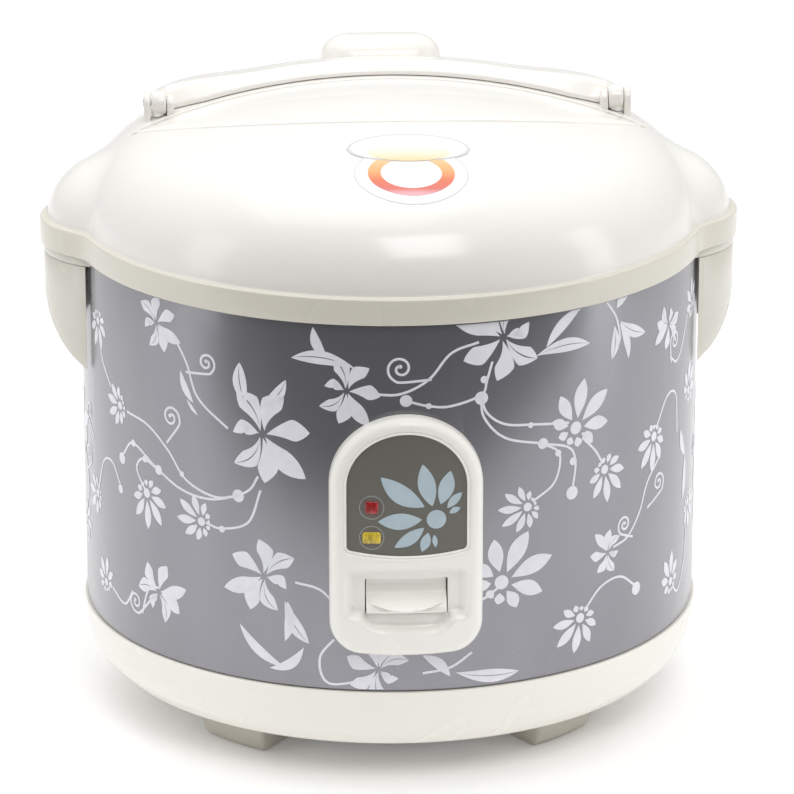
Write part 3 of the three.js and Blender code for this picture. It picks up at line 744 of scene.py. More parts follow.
def polar_loop(radius, angle, height):
    radius = np.broadcast_to(radius, angle.shape)
    return np.stack(
        [radius * np.cos(angle), radius * np.sin(angle), np.broadcast_to(height, angle.shape)], 1
    )


def dome_loop(radius, angle, drop=0.0):
    """A loop that follows the dome at some depth under it."""
    return polar_loop(radius, angle, dome_height(radius) - drop)


def recess_rows(angle):
    """From the middle of the recess's floor to its rim."""
    corner, edge = 0.7, 0.9
    rows = [dome_loop(lens_radius(angle, -corner) * k, angle, LENS_DEPTH) for k in (0.12, 0.35, 0.6, 0.85)]
    for left, gone in quarter(corner, 4):
        rows.append(dome_loop(lens_radius(angle, -left), angle, LENS_DEPTH - gone))
    for left, gone in reversed(quarter(edge, 6)):
        rows.append(dome_loop(lens_radius(angle, left), angle, gone))
    return rows


def dome_rows(angle, count=58):
    """From the recess's rim to the foot of the dome, and the same surface a wall's thickness inside."""
    rim = np.interp(-lens_radius(angle, 1.0), -PROFILE[:, 0], PROFILE_S)
    outside, inside = [], []
    for k in range(count):
        along = rim * (1 - (k + 1) / count) ** 1.15
        radius = np.interp(along, PROFILE_S, PROFILE[:, 0])
        height = np.interp(along, PROFILE_S, PROFILE[:, 1])
        row = lid_surface(angle, np.arctan2(height - BAND_TOP, radius))
        wall = 2.5 + 6.5 * smooth_step(1 - (rim - along) / 9)
        outside.append(row)
        inside.append(row - lid_normal(row) * wall[:, None])
    return outside, inside


def band_rows(angle, foot):
    """From the foot of the dome over the band's bead to its underside and up its inner wall."""
    bead, low_edge, wall = 1.0, 0.8, 2.5
    valley = np.minimum(foot + 0.6, band_radius(angle, bead) - 0.15)
    rows = [polar_loop(np.minimum(foot + 0.2, valley - 0.1), angle, BAND_TOP + 0.15)]
    rows.append(polar_loop(valley, angle, BAND_TOP))
    places = [(left, BAND_TOP - gone) for left, gone in quarter(bead, 5)]
    places += [(0, BAND_TOP - 4), (0, RIM_Z + 4)]
    places += [(gone, RIM_Z + left) for left, gone in quarter(low_edge, 4)]
    places += [(wall - 0.3, RIM_Z), (wall, RIM_Z + 0.3)]
    places += [(wall, BAND_TOP - 3.2), (wall + 0.7, BAND_TOP - 2.5)]
    return rows + [polar_loop(band_radius(angle, amount), angle, height) for amount, height in places]


def lid_angles(count=440):
    """Directions round the lid, closer together near the ears."""
    turn = np.arange(count) * TURN / count
    return turn - 0.3 * np.sin(2 * turn)


def lid_shell_shape():
    angle = lid_angles()
    outside, inside = dome_rows(angle)
    foot = np.hypot(outside[-1][:, 0], outside[-1][:, 1])
    rows = recess_rows(angle) + outside + band_rows(angle, foot) + inside[::-1]
    rows += [dome_loop(lens_radius(angle, 0) * share, angle, LENS_DEPTH + 2) for share in (0.8, 0.4)]
    return skin(rows, start=(0, 0, APEX - LENS_DEPTH), end=(0, 0, APEX - LENS_DEPTH - 2))


def lug_shape(side, low, high, radius):
    """A small upright lug with a round top, which holds an end of the carry handle's pin."""
    outline = [(HANDLE_Y - 5, 250), (HANDLE_Y + 5, 250)]
    for k in range(17):
        angle = math.pi * k / 16
        outline.append((HANDLE_Y + 5 * math.cos(angle), HANDLE_Z + radius * math.sin(angle)))
    return slab(np.array(outline), *mirrored(side, low, high), edge=0.9, lay=along_x)


def hinge_knuckles(low, high, back):
    shapes = []
    for side in (-1, 1):
        outline = [(back, HINGE_Z - 3.4), (HINGE_Y, HINGE_Z - 3.7)]
        for k in range(1, 12):
            angle = -math.pi / 2 + math.pi * k / 12
            outline.append((HINGE_Y + 3.7 * math.cos(angle), HINGE_Z + 3.7 * math.sin(angle)))
        outline += [(HINGE_Y, HINGE_Z + 3.7), (back, HINGE_Z + 3.4)]
        shapes.append(slab(np.array(outline), *mirrored(side, low, high), edge=0.35, lay=along_x))
    return joined(*shapes)


def make_lid_shell():
    shell = make("lid_shell", lid_shell_shape(), "lid", "lid", "lid_plastic", "lid_outer_shell", sharp=50)
    carve(shell, bar(10, (0, VENT_Y, 240), (0, VENT_Y, 280), 48), sharp=50)
    # the band's faces get a darker beige: partly the band's own tint, partly painted shade under the dome
    shell.data.materials.append(MATERIALS["band"])
    for face in shell.data.polygons:
        face.material_index = 1 if face.center.z < (BAND_TOP + 0.1) * MM else 0
    lugs = []
    for side in (-1, 1):
        lugs += [lug_shape(side, 93.4, 96.5, 3.4), lug_shape(side, 103.5, 106.6, 4.6)]
    make("handle_lugs", joined(*lugs), "lid", "lid", "lid_plastic")
    make("lid_knuckles", hinge_knuckles(7.5, 18.4, 134.5), "lid", "lid", "lid_plastic")


# ---- release plate, carry handle and vent ----
def plate_edge(angle, grow):
    """Distance from the axis to the edge of the release plate, which stops short of the lens's points."""
    ends = 110.0 + grow + 1.2
    clipped = ends / np.maximum(np.abs(np.cos(angle)), 1e-6)
    return np.minimum(lens_radius(angle, grow), clipped)


def make_release_plate():
    angle = lid_angles(360)
    edge, gap, thick = 0.8, -1.2, 2.5
    rows = [dome_loop(plate_edge(angle, gap - edge) * share, angle) for share in (0.15, 0.4, 0.65, 0.88)]
    rows += [dome_loop(plate_edge(angle, gap - left), angle, gone) for left, gone in quarter(edge, 5)]
    rows += [dome_loop(plate_edge(angle, gap) * share, angle, thick) for share in (1.0, 0.6, 0.2)]
    plate = skin(rows, start=(0, 0, APEX), end=(0, 0, APEX - thick))
    post = bar(3.5, (0, -30, 251.8), (0, -30, 268))
    make(
        "press_plate", joined(plate, post), "release_plate", "lid", "lid_plastic", "release_plate",
        sharp=50,
    )


def handle_section(y_front, y_rear, low, high, shrink, x):
    """Rounded outline of the handle's strap where it crosses a given X, following the dome."""
    shrink = min(shrink, 0.46 * min(high - low, y_rear - y_front))
    slope = min(7.5, 0.3 * (y_rear - y_front))
    outline = rounded([
        (y_front + shrink, low + shrink, 0.4), (y_rear - shrink, low + shrink, 1.2),
        (y_rear - shrink, high - shrink, 2.6), (y_front + shrink + slope, high - shrink, 6.0),
        (y_front + shrink, low + shrink + 2.0, 2.0),
    ], 5)
    return [(x, y, float(dome_height(math.hypot(x, y))) + lift) for y, lift in outline]


def make_handle():
    half, front_gap, rear = 103.0, 6.0, 62.0
    loops = []
    stations = half * np.sin(np.linspace(-math.pi / 2, math.pi / 2, 91))
    for x in stations:
        reach = LENS_END + front_gap
        sag = LENS_REAR + front_gap
        radius = (reach**2 + sag**2) / (2 * sag)
        y_front = math.sqrt(radius**2 - x**2) - (radius - sag)
        y_rear = HANDLE_Y + (rear - HANDLE_Y) * math.sqrt(1 - (x / (half + 3)) ** 2)
        if abs(x) < 97:
            y_front = max(y_front, HANDLE_Y + 5.8) if abs(x) > 80 else y_front
        end = max(0.0, (abs(x) - half + 3.2) / 3.2)
        shrink = 3.2 * (1 - math.sqrt(max(0.0, 1 - end * end)))
        swell = 3.4 * smooth_step((abs(x) - 55) / 40)
        loops.append(handle_section(y_front, y_rear, 0.3, 6.6 + float(swell), shrink, x))
    strap = skin(loops, start=np.mean(loops[0], 0), end=np.mean(loops[-1], 0))
    ends = []
    for side in (-1, 1):
        knob = circle(5.3, 40, (HANDLE_Y, HANDLE_Z))
        ends.append(slab(knob, *mirrored(side, 96.75, 103.25), edge=1.0, lay=along_x))
        pin = bar(1.6, (side * 93.6, HANDLE_Y, HANDLE_Z), (side * 106.9, HANDLE_Y, HANDLE_Z))
        name = "pivot_pin_" + ("left" if side < 0 else "right")
        make(name, pin, "lid", "steel", "zinc_steel", name.replace("pivot", "handle"))
    make("carry_bow", joined(strap, *ends), "carry_handle", "lid", "trim_plastic", "carry_handle", sharp=50)


def stadium(half_length, half_width, centre_y, sides=24):
    straight = half_length - half_width
    points = []
    for centre, first in ((straight, -math.pi / 2), (-straight, math.pi / 2)):
        for k in range(sides + 1):
            angle = first + math.pi * k / sides
            points.append((centre + half_width * math.cos(angle), centre_y + half_width * math.sin(angle)))
    return resampled(np.array(points), 2.0)


def on_lid(loop, lift):
    """A flat loop laid on the dome and lifted from it."""
    return np.column_stack([loop, dome_height(np.hypot(loop[:, 0], loop[:, 1])) + lift])


def level(loop, height):
    return np.column_stack([loop, np.full(len(loop), height)])


def make_vent():
    outline = counterclockwise(stadium(27, 13.5, VENT_Y))
    seat = counterclockwise(stadium(29.2, 15.6, VENT_Y))
    steps = ((0, -2.0), (0, 0.5), (0.25, 0.9), (0.8, 1.1), (3.0, 1.1), (3.0, -2.0), (0, -2.0))
    rows = [on_lid(inset(seat, amount), lift) for amount, lift in steps]
    make("vent_seat", skin(rows), "lid", "lid", "lid_plastic")
    shoulder, drop = 11.5, 10.0
    inner = inset(outline, 2.2)
    rows = [level(inner, 268.0), on_lid(inner, 1.4), on_lid(inset(outline, 0.25), 1.4), on_lid(outline, 1.8)]
    for turn in np.linspace(0, math.pi / 2, 10):
        height = CAP_TOP - 0.4 - drop * (1 - math.sin(turn))
        rows.append(level(inset(outline, shoulder * (1 - math.cos(turn))), height))
    cap = skin(rows, start=(0, VENT_Y, 270.5), end=(0, VENT_Y, CAP_TOP - 0.3))
    vent = make("vent_cap_shell", cap, "vent_cap", "lid", "lid_plastic", "steam_vent_cap", sharp=50)
    slot = block((-3.2, 3.2), (VENT_Y + 5, VENT_Y + 20), (264.5, 267.0))
    carve(vent, *[moved(slot, x) for x in (-14, -4.7, 4.7, 14)], sharp=50)
    spigot = turned([(8.2, 254), (9.3, 252), (9.6, 256), (9.6, 269), (8.2, 269)], 48)
    make("vent_spigot", moved(spigot, 0, VENT_Y), "vent_cap", "inner", "lid_plastic")
    tube = turned(rectangle(6.2, 7.6, 218, 262, 0.3, 2), 48)
    make("steam_pipe", moved(tube, 0, VENT_Y), "lid", "inner", "lid_plastic", "steam_tube")


# ---- sticker on the lid's front ----
STICKER_X = 4.5
STICKER_R = 91.5  # of its centre, in front of the axis


def on_dome(u, v, lift):
    """A point u to the right of the sticker's centre and v up the dome from it."""
    centre = np.interp(-STICKER_R, -PROFILE[:, 0], PROFILE_S)
    r = np.interp(centre + v, PROFILE_S, PROFILE[:, 0])
    x = STICKER_X + u
    return np.stack([x, -r, dome_height(np.hypot(x, r)) + lift], -1)


def sticker_loops(radii, lift, squash=1.0, sides=96):
    angle = np.arange(sides) * TURN / sides
    return [on_dome(r * np.cos(angle), squash * r * np.sin(angle), lift) for r in radii]


def sticker_piece(name, shape, material):
    piece = mesh_object(name, shape)
    thicken(piece, 0.12)
    return place(piece, "lid", material, "lid_plastic")


def banner_shape(half, height, v_centre, lift, rows=9, columns=41):
    """A pointed lens with a fuller top than bottom."""
    loops = []
    for j in range(rows):
        share = 2 * j / (rows - 1) - 1
        u = np.linspace(-half, half, columns)
        sag = np.sqrt(np.maximum(1 - (u / half) ** 2, 0.0))
        loops.append(on_dome(u, v_centre + share * height * sag, lift))
    return skin(loops, closed_rows=False)


def make_sticker():
    steps = [0.2, 5, 10, 15, 19, 23.4]
    disc = skin(sticker_loops(steps, 0.10), start=on_dome(0, 0, 0.10))
    sticker_piece("sticker_disc", disc, "sticker")
    sticker_piece("sticker_border", skin(sticker_loops([23.4, 24.0], 0.10)), "sticker_edge")
    sticker_piece("sticker_band", skin(sticker_loops([12.8, 14, 15.5, 17, 18.2], 0.2, 1.02)), "sticker_ring")
    sticker_piece("banner_edge", banner_shape(26.2, 13.6, 23.5, 0.26), "sticker_edge")
    sticker_piece("banner_face", banner_shape(24.8, 12.4, 23.3, 0.34), "sticker")
    sticker_piece("banner_glow", banner_shape(17.5, 8.6, 18.6, 0.42), "banner_glow")


# ---- base and feet ----
def slots_round(half_length, half_width, heights, radius, first):
    """Eight straight slots that point away from the axis."""
    slot = moved(slab(stadium(half_length, half_width, 0, 8), *heights, edge=0.05), radius)
    return [spun(slot, first + 45 * k) for k in range(8)]


def make_base():
    outline = rounded([
        (80, 12), (100, 12, 10), (113, 13.5, 10), (124, 18, 9), (130.6, 24.5, 9), (134, 32, 9),
        (135.6, 40, 8), (136.2, 45.7, 0.5), (133.2, 45.7), (133.2, 52, 0.3), (131, 52, 0.3), (131, 40, 8),
        (130.4, 31.6, 8), (127.6, 25.6, 8), (122.4, 20.3, 8), (112.4, 16, 8), (100, 14.5, 6), (80, 14.5),
    ], 4)
    base = make("base_bowl", turned(outline), "cooker_body", "base", "base_plastic", "base_shell")
    cutters = slots_round(8.5, 1.5, (8, 26), 99.5, 15)
    cutters += [bar(2, (x, y, 5), (x, y, 22)) for x, y in base_screw_places()]
    carve(base, joined(*cutters))


def base_screw_places():
    return [around(83, degrees) for degrees in (270, 30, 150)]


def make_bottom_cover():
    outline = rounded([(0.5, 14.8), (88, 14.8, 0.5), (88, 16, 0.5), (0.5, 16)])
    cover = make("bottom_plate", turned(outline), "cooker_body", "steel", "zinc_steel", "bottom_cover")
    cutters = [bar(2, (x, y, 5), (x, y, 22)) for x, y in base_screw_places()]
    cutters += slots_round(12.5, 1.5, (12, 20), 57.5, 0) + slots_round(7, 1.2, (12, 20), 30, 22.5)
    carve(cover, joined(*cutters))


def make_base_screws():
    outline = [
        (0.3, 10.2), (2.6, 10.0, 0.5), (3.2, 10.9, 0.3), (3.2, 11.7), (1.6, 11.7), (1.6, 18.5),
        (0.3, 18.5),
    ]
    shape = turned(rounded(outline, 3), 32)
    cross = block((-1.9, 1.9), (-0.35, 0.35), (9, 11)), block((-0.35, 0.35), (-1.9, 1.9), (9, 11))
    for where, (x, y) in zip(("front", "rear_right", "rear_left"), base_screw_places()):
        screw = make(
            "cover_screw_" + where, moved(shape, x, y), "cooker_body", "steel", "zinc_steel",
            "base_screw_" + where,
        )
        carve(screw, *[moved(arm, x, y) for arm in cross])


def foot_shape(middle, half=9.8, steps=20):
    """A stretch of one tapered ring, rounded over at both ends."""
    loops = []
    for k in range(steps + 1):
        share = 2 * k / steps - 1
        share = math.sin(share * math.pi / 2)
        spare = (1 - abs(share)) * math.radians(half) * 95
        shrink = 1.8 * (1 - math.sqrt(max(0.0, 1 - (1 - min(1.0, spare / 1.8)) ** 2)))
        outline = rounded([
            (84 + shrink, 0 + shrink, 1.0), (103.5 - shrink, 0 + shrink, 1.0), (106 - shrink, 2.5, 2.0),
            (108.6 - shrink, 12.5), (100, 11.6), (80.5 + shrink, 11.6), (81.5 + shrink, 2.5, 2.0),
        ], 4)
        angle = math.radians(middle + half * share)
        loops.append([(r * math.cos(angle), r * math.sin(angle), z) for r, z in outline])
    return skin(loops, start=np.mean(loops[0], 0), end=np.mean(loops[-1], 0))


def make_feet():
    places = {"front_left": -133.5, "front_right": -46.5, "rear_left": 133.5, "rear_right": 46.5}
    for where, middle in places.items():
        name = "foot_" + where
        make("rubbing_" + name, foot_shape(middle), "cooker_body", "foot", "foot_plastic", name)


# ---- body sheet ----
def make_sheet():
    top = SHEET_HIGH[2]
    outline = rounded([(134, SEAM_Z), (BODY_R, SEAM_Z, 0.4), (BODY_R, top, 0.3), (134, top)], 3)
    sheet = make("printed_wall", turned(outline, 288), "cooker_body", "sheet", "printed_sheet", "body_shell")
    carve(
        sheet,
        block((-24, 24), (-150, -100), (76, 152)),  # behind the control panel
        block((-18, 18), (100, 150), (55, 87)),  # behind the power inlet
        block((-35, 35), (100, 150), (196, 220)),  # in front of the hinge
        block((120, 150), (-35, 35), (204.1, 220)),  # under the right ear
        block((-150, -120), (-35, 35), (204.1, 220)),  # under the left ear
    )


def make_seam():
    """Folded upright seam of the sheet, at the back between the inlet and the hinge cover."""
    low, high = 91.5, 177.3
    fold = (
        -4.5, 0.05
    ), (-4.1, 0.5), (-2, 0.55), (0, 0.55), (2, 0.55), (4.1, 0.5), (4.5, 0.05), (4.5, -0.3), (-4.5, -0.3)
    outline = np.array([(x, math.sqrt((BODY_R + lift) ** 2 - x**2)) for x, lift in fold])
    make("sheet_seam", slab(outline, low, high, edge=0.05), "cooker_body", "sheet", "printed_sheet")


# ---- upper ring and side grips ----
def ear_plate(side, radius, clear, low, high):
    """The part of a round ear that stands outside the body, as a plate."""
    x = EAR_X
    meet = math.acos((clear**2 - x**2 - radius**2) / (2 * x * radius))
    points = [(x + radius * math.cos(a), radius * math.sin(a)) for a in np.linspace(-meet, meet, 60)]
    end = math.atan2(points[-1][1], points[-1][0])
    points += [(clear * math.cos(a), clear * math.sin(a)) for a in np.linspace(end, -end, 40)[1:-1]]
    outline = np.array(points) * np.array([side, 1])
    return slab(outline, low, high, edge=0.3)


def make_upper_ring():
    outline = rounded([
        (108.8, 202, 0.3), (119, 202, 0.3), (119, 205), (131.4, 205), (131.4, 192, 0.3),
        (133.6, 192, 0.3), (133.6, 207.7, 0.5), (116.8, 207.7, 0.6), (116.8, 204.4), (108.8, 204.4, 0.3),
    ], 3)
    plates = [ear_plate(side, 36.5, 133.0, 204.4, 207.7) for side in (-1, 1)]
    shelves = []
    for side in (1, -1):
        left, right = mirrored(side, 19, 33)
        corners = np.array([(left, 131.5), (right, 131.5), (right, 142.5), (left, 142.5)])
        shelves.append(slab(resampled(corners, 3), 200, 207.7, edge=0.4))
    knuckles = hinge_knuckles(19, 33, 138.1)
    ring = make("rim_ring", turned(outline), "cooker_body", "trim", "trim_plastic", "upper_ring")
    carve(ring, block((-9, 9), (-128.5, -114.5), (195, 215)))
    make("rim_ears", joined(*plates, *shelves, knuckles), "cooker_body", "trim", "trim_plastic")


def grip_floor(x):
    """Height of the grip's lower edge at a distance x from the middle of the body."""
    if x < 119:
        return 154 - (119 - x) * 4 / 19
    return 190 - 36 * math.sqrt(max(0.0, 1 - ((x - 119) / 32) ** 2))


def grip_shape(side):
    """A hollow grip under an ear, as profiles (distance from the ear's centre, height) round the ear."""
    outer, inner, clear = 36.5, 33.7, BODY_R + 1.5
    top, ceiling = 204.1, 201.4
    meet = math.acos((clear**2 - EAR_X**2 - (outer - 0.15) ** 2) / (2 * EAR_X * (outer - 0.15)))
    loops = []
    for angle in meet * np.sin(np.linspace(-math.pi / 2, math.pi / 2, 97)):
        c, s = math.cos(angle), math.sin(angle)
        body = -EAR_X * c + math.sqrt(clear**2 - (EAR_X * s) ** 2)
        wall = max(inner, body)
        low_out = grip_floor(EAR_X + outer * c)
        low_in = grip_floor(EAR_X + wall * c)
        edge = min(1.1, 0.4 * (outer - wall))
        inside = min(body, wall)
        profile = [
            (outer, top - 0.6), (outer - min(0.6, edge), top), (inside, top), (inside, ceiling),
            (wall, ceiling - 0.01), (wall, low_in + edge), (wall + 0.3 * edge, low_in + 0.3 * edge),
            (wall + edge, (low_in + low_out) / 2 if edge > 1 else low_in), (outer - edge, low_out),
            (outer - 0.3 * edge, low_out + 0.3 * edge), (outer, low_out + edge), (outer, low_out + 6),
            (outer, (low_out + top) / 2),
        ]
        loops.append([(side * (EAR_X + r * c), r * s, min(z, top)) for r, z in profile])
    return capped(loops)


def make_grips():
    outline = [
        (0.3, 199.4), (2.4, 199.4, 0.5), (2.8, 200.3, 0.3), (2.8, 201.1), (1.5, 201.1), (1.5, 206.2),
        (0.3, 206.2),
    ]
    screw = turned(rounded(outline, 3), 32)
    for side, name in ((-1, "left"), (1, "right")):
        grip = "side_grip_" + name
        make("finger_grip_" + name, grip_shape(side), "cooker_body", "trim", "trim_plastic", grip, sharp=45)
        head = "grip_screw_" + name
        make("ear_screw_" + name, moved(screw, side * 143), "cooker_body", "steel", "zinc_steel", head)


# ---- pot and everything inside ----
def make_pot():
    z, r, w = 76.0, 104.0, 1.5  # underside, inner radius and thickness
    outline = rounded([
        (0.3, z), (95.5, z, 10), (102.5, z + 2.8, 8), (r + w, z + 9.5, 10), (r + w, 204.7, 0.8),
        (115.5, 204.7, 0.5), (115.5, 206.2, 0.7), (r, 206.2, 2.2), (r, z + 10, 9), (101.5, z + 4, 7),
        (95, z + w, 9), (0.3, z + w),
    ], 5)
    make("cooking_pot", turned(outline, 224), "cooker_body", "pot", "pot_aluminium", "inner_pot")
    marks = []
    for k in range(8):
        height = 92 + 11 * k
        half = 0.055 if k % 2 else 0.1
        angle = np.linspace(math.pi / 2 - half, math.pi / 2 + half, 9)
        ridge = ((r - 0.02, -0.35), (r - 0.22, -0.2), (r - 0.22, 0.2), (r - 0.02, 0.35))
        rows = [polar_loop(radius, angle, height + lift) for radius, lift in ridge]
        marks.append(skin(rows, closed_rows=False))
    make("pot_level_marks", joined(*marks), "cooker_body", "housing", "pot_aluminium")


def make_housing():
    z, r = 62.0, 109.0  # underside and outer radius
    outline = rounded([
        (32, z, 0.4), (92, z, 8), (104, z + 4, 8), (r, z + 16, 8), (r, 200.4, 0.5), (117, 200.4),
        (117, 201.7), (r - 1, 201.7, 0.8), (r - 1, z + 16.4, 8), (103.4, z + 5, 8), (91.8, z + 1, 8),
        (32, z + 1, 0.4),
    ], 3)
    housing = make(
        "pot_shield", turned(outline, 160), "cooker_body", "housing", "housing_aluminium", "pot_housing"
    )
    carve(housing, *[bar(6, (x, -30, 55), (x, -30, 70)) for x in (-50, 50)])
    top = 75.7
    outline = [(19, 67, 0.5), (84, 67, 2), (88, 70, 1.5), (88, top - 1.5, 1), (86, top, 1), (19, top, 0.6)]
    plate = turned(rounded(outline, 3), 160)
    legs = [bar(5, (*around(62, a), 63.3), (*around(62, a), 68)) for a in (30, 150, 270)]
    make("heater_disc", joined(plate, *legs), "cooker_body", "housing", "housing_aluminium", "heating_plate")


def make_hinge():
    rod = bar(1.5, (-34, HINGE_Y, HINGE_Z), (34, HINGE_Y, HINGE_Z))
    make("hinge_rod", rod, "cooker_body", "steel", "zinc_steel", "hinge_pin")

    def wound(u, v, w):
        return w, HINGE_Y + u, HINGE_Z + v

    spring = coil(2.1, 0.4, 9, -5.8, 5.8, wound)
    make("hinge_coil", spring, "cooker_body", "steel", "zinc_steel", "hinge_spring", sharp=80)
    half, front = 38.0, BODY_R + 0.35
    start = math.asin(half / front)
    end = front * math.cos(start)
    outline = [(front * math.sin(a), front * math.cos(a)) for a in np.linspace(-start, start, 30)]
    outline += rounded([(half, end), (half, BACK_Y, 7), (-half, BACK_Y, 7), (-half, end)], 8)[1:-1].tolist()
    cover = tray(resampled(np.array(outline), 3), 1.8, 178, 207.6, 180.5, edge=2.2)
    make("hinge_housing", cover, "cooker_body", "trim", "trim_plastic", "hinge_cover")


def make_inlet():
    half, low, high = 17.0, 56.0, 86.0
    flange = rectangle(-half - 4, half + 4, low - 4, high + 4, 4, 6)
    rim = slab(resampled(flange, 4), BODY_R + 1, BODY_R + 4, edge=0.8, lay=along_y)
    box = rectangle(-half, half, low, high, 2.5)
    socket = slab(resampled(box, 4), 112, BODY_R + 6, edge=0.5, lay=along_y)
    inlet = make("inlet_shell", joined(rim), "cooker_body", "black", "black_plastic", "power_inlet")
    well = rectangle(-14.5, 14.5, 58.5, 83.5, 2)
    hollow = slab(resampled(well, 4), 118, 160, edge=0.05, lay=along_y)
    carve(inlet, hollow)
    inner = make("inlet_socket_box", socket, "cooker_body", "black", "black_plastic")
    carve(inner, hollow)
    for name, x, z in (("line", -8, 67), ("neutral", 8, 67), ("earth", 0, 77)):
        pin = bar(1.9, (x, 110, z), (x, 134, z), 24, 0.7)
        make("socket_pin_" + name, pin, "cooker_body", "brass", "brass_contacts", "inlet_pin_" + name)


# ---- inside of the lid ----
def make_lid_inside():
    outline = rounded([
        (4.8, 222), (116, 222, 1), (116, 208.6, 1), (134.1, 208.6, 0.6), (134.1, 210.6, 0.3),
        (118, 210.6), (118, 224), (4.8, 224),
    ], 4)
    shell = make("lid_liner", turned(outline), "lid", "inner", "inner_plastic", "lid_inner_shell")
    slot = block((-7, 7), (-130, -112), (205, 221))
    carve(shell, slot, bar(8, (0, VENT_Y, 215), (0, VENT_Y, 230), 40))
    plate = rounded([
        (4.8, 216), (98, 216, 5), (104, 210.6, 3), (112.2, 210.6, 0.4), (112.2, 211.7, 0.4),
        (104.6, 211.7, 3), (98.5, 217.1, 5), (4.8, 217.1),
    ], 5)
    cover = make("steam_plate", turned(plate), "lid", "pot", "pot_aluminium", "inner_lid_plate")
    holes = [bar(5, (0, VENT_Y, 210), (0, VENT_Y, 220), 40)]
    for k in range(6):
        x, y = around(62, 60 * k + 30)
        holes.append(bar(1.6, (x, y, 210), (x, y, 220)))
    carve(cover, *holes)
    gasket = rounded([
        (107.5, 206.7, 0.6), (115.3, 206.7, 0.8), (115.3, 213, 0.6), (108.5, 213, 0.3), (108.5, 212.1),
        (112.6, 212.1), (112.6, 210.2), (107.5, 210.2, 0.4),
    ], 4)
    make("lid_seal", turned(gasket), "lid", "gasket", "gasket_rubber", "lid_gasket")
    grommet = rounded([
        (0.2, 212.6), (9, 212.6, 1.2), (9, 215.6, 0.8), (4.4, 215.6), (4.4, 224.4), (7, 224.4, 0.6),
        (7, 227, 1), (0.2, 227),
    ], 4)
    make("plate_button", turned(grommet, 64), "lid", "gasket", "gasket_rubber", "plate_grommet")


def paint_carried_nodes():
    """The CAD nodes that still show get a finish of their own."""
    slots = {part["node"]: part["material_slot"] for part in frame["record"]["subparts"]}
    for name, node in frame["nodes"].items():
        if node.hide_render:
            continue
        node.data.materials.clear()
        node.data.materials.append(MATERIALS[CARRIED[slots[name]]])
        node.data.shade_smooth()
        node.data.set_sharp_from_angle(angle=math.radians(40))


# ---- control panel ----
PANEL_HALF, PANEL_LOW, PANEL_TOP = 32.2, 66.0, 171.0
INLAY_HALF, INLAY_LOW, INLAY_TOP = 25.0, 112.0, 162.7
INLAY_FACE = FACE_R - 0.7
LEVER_HALF, LEVER_LOW, LEVER_HIGH = 16.9, 83.0, 97.6
LAMP_X = -14.7
LAMPS = {"cook": 130.9, "warm": 117.6}


def arch(half, low, top, rise, corner):
    """Outline of an arched window: an elliptical top, upright sides and round lower corners."""
    points = []
    for k in range(49):
        angle = math.pi * k / 48
        points.append((half * math.cos(angle), top - rise + rise * math.sin(angle)))
    for side in (-1, 1):
        arc = []
        for k in range(9):
            angle = math.pi / 2 * k / 8
            arc.append(
                (side * (half - corner + corner * math.cos(angle)), low + corner - corner * math.sin(angle))
            )
        points += arc if side < 0 else arc[::-1]
    return resampled(np.array(points), 1.6)


def bowed(outline, sag, half, low):
    """Lets the bottom edge of an outline hang down in the middle."""
    lowered = outline.copy()
    share = smooth_step(1 - (outline[:, 1] - low) / 20)
    lowered[:, 1] -= share * sag * (1 - (outline[:, 0] / half) ** 2)
    return lowered


def inside_loop(points, loop):
    """Whether each point lies inside a closed loop."""
    crossings = np.zeros(len(points), bool)
    for here, there in zip(loop, np.roll(loop, -1, 0)):
        spans = (here[1] > points[:, 1]) != (there[1] > points[:, 1])
        rise = there[1] - here[1] if there[1] != here[1] else 1e-12
        reach = here[0] + (points[:, 1] - here[1]) * (there[0] - here[0]) / rise
        crossings ^= spans & (points[:, 0] < reach)
    return crossings


def inside_shape(points, loops):
    """Whether each point lies inside the first loop and outside the others."""
    kept = inside_loop(points, loops[0])
    for hole in loops[1:]:
        kept &= ~inside_loop(points, hole)
    return kept


def filled(outline, holes, step):
    """Flat points and triangles that fill an outline round its holes."""
    loops = [outline, *holes]
    edges = []
    base = 0
    for loop in loops:
        edges += [(base + i, base + (i + 1) % len(loop)) for i in range(len(loop))]
        base += len(loop)
    rim = np.concatenate(loops)
    low, high = outline.min(0), outline.max(0)
    grid = np.meshgrid(np.arange(low[0], high[0], step), np.arange(low[1], high[1], step))
    grid = np.stack(grid, -1).reshape(-1, 2)
    grid = grid[inside_shape(grid, loops)]
    near = np.min(np.linalg.norm(grid[:, None] - rim[None], axis=2), 1)
    grid = grid[near > 0.6 * step]
    flat = [Vector(p) for p in np.concatenate([rim, grid])]
    points, _, faces, *_ = delaunay_2d_cdt(flat, edges, [], 0, 1e-5)
    points = np.array([tuple(p) for p in points])
    faces = np.array([tuple(face) for face in faces])
    return points, [tuple(face) for face in faces[inside_shape(points[faces].mean(1), loops)]]


def on_front(flat, radius):
    """Points (x, z) laid on a cylinder of the given radius about the body's axis, at its front."""
    x, z = flat[:, 0], flat[:, 1]
    return np.stack([x, -np.sqrt(np.broadcast_to(radius, x.shape) ** 2 - x**2), z], 1)


def face_radius(flat):
    """Radius of the panel's face: it sinks to a soft dish round the lever and a scoop under it."""
    x, z = flat[:, 0], flat[:, 1]
    top = 106.6 - 2.6 * (x / 26) ** 2
    dish = smooth_step((top - z) / 6) * smooth_step((z - 80.6) / 3.2) * smooth_step((26.5 - np.abs(x)) / 4)
    reach = np.sqrt((x / 20.5) ** 4 + ((84 - z) / 9.0) ** 2)
    scoop = smooth_step((1 - reach) / 0.22) * (z < 90)
    return FACE_R - 4.5 * np.maximum(dish, scoop)


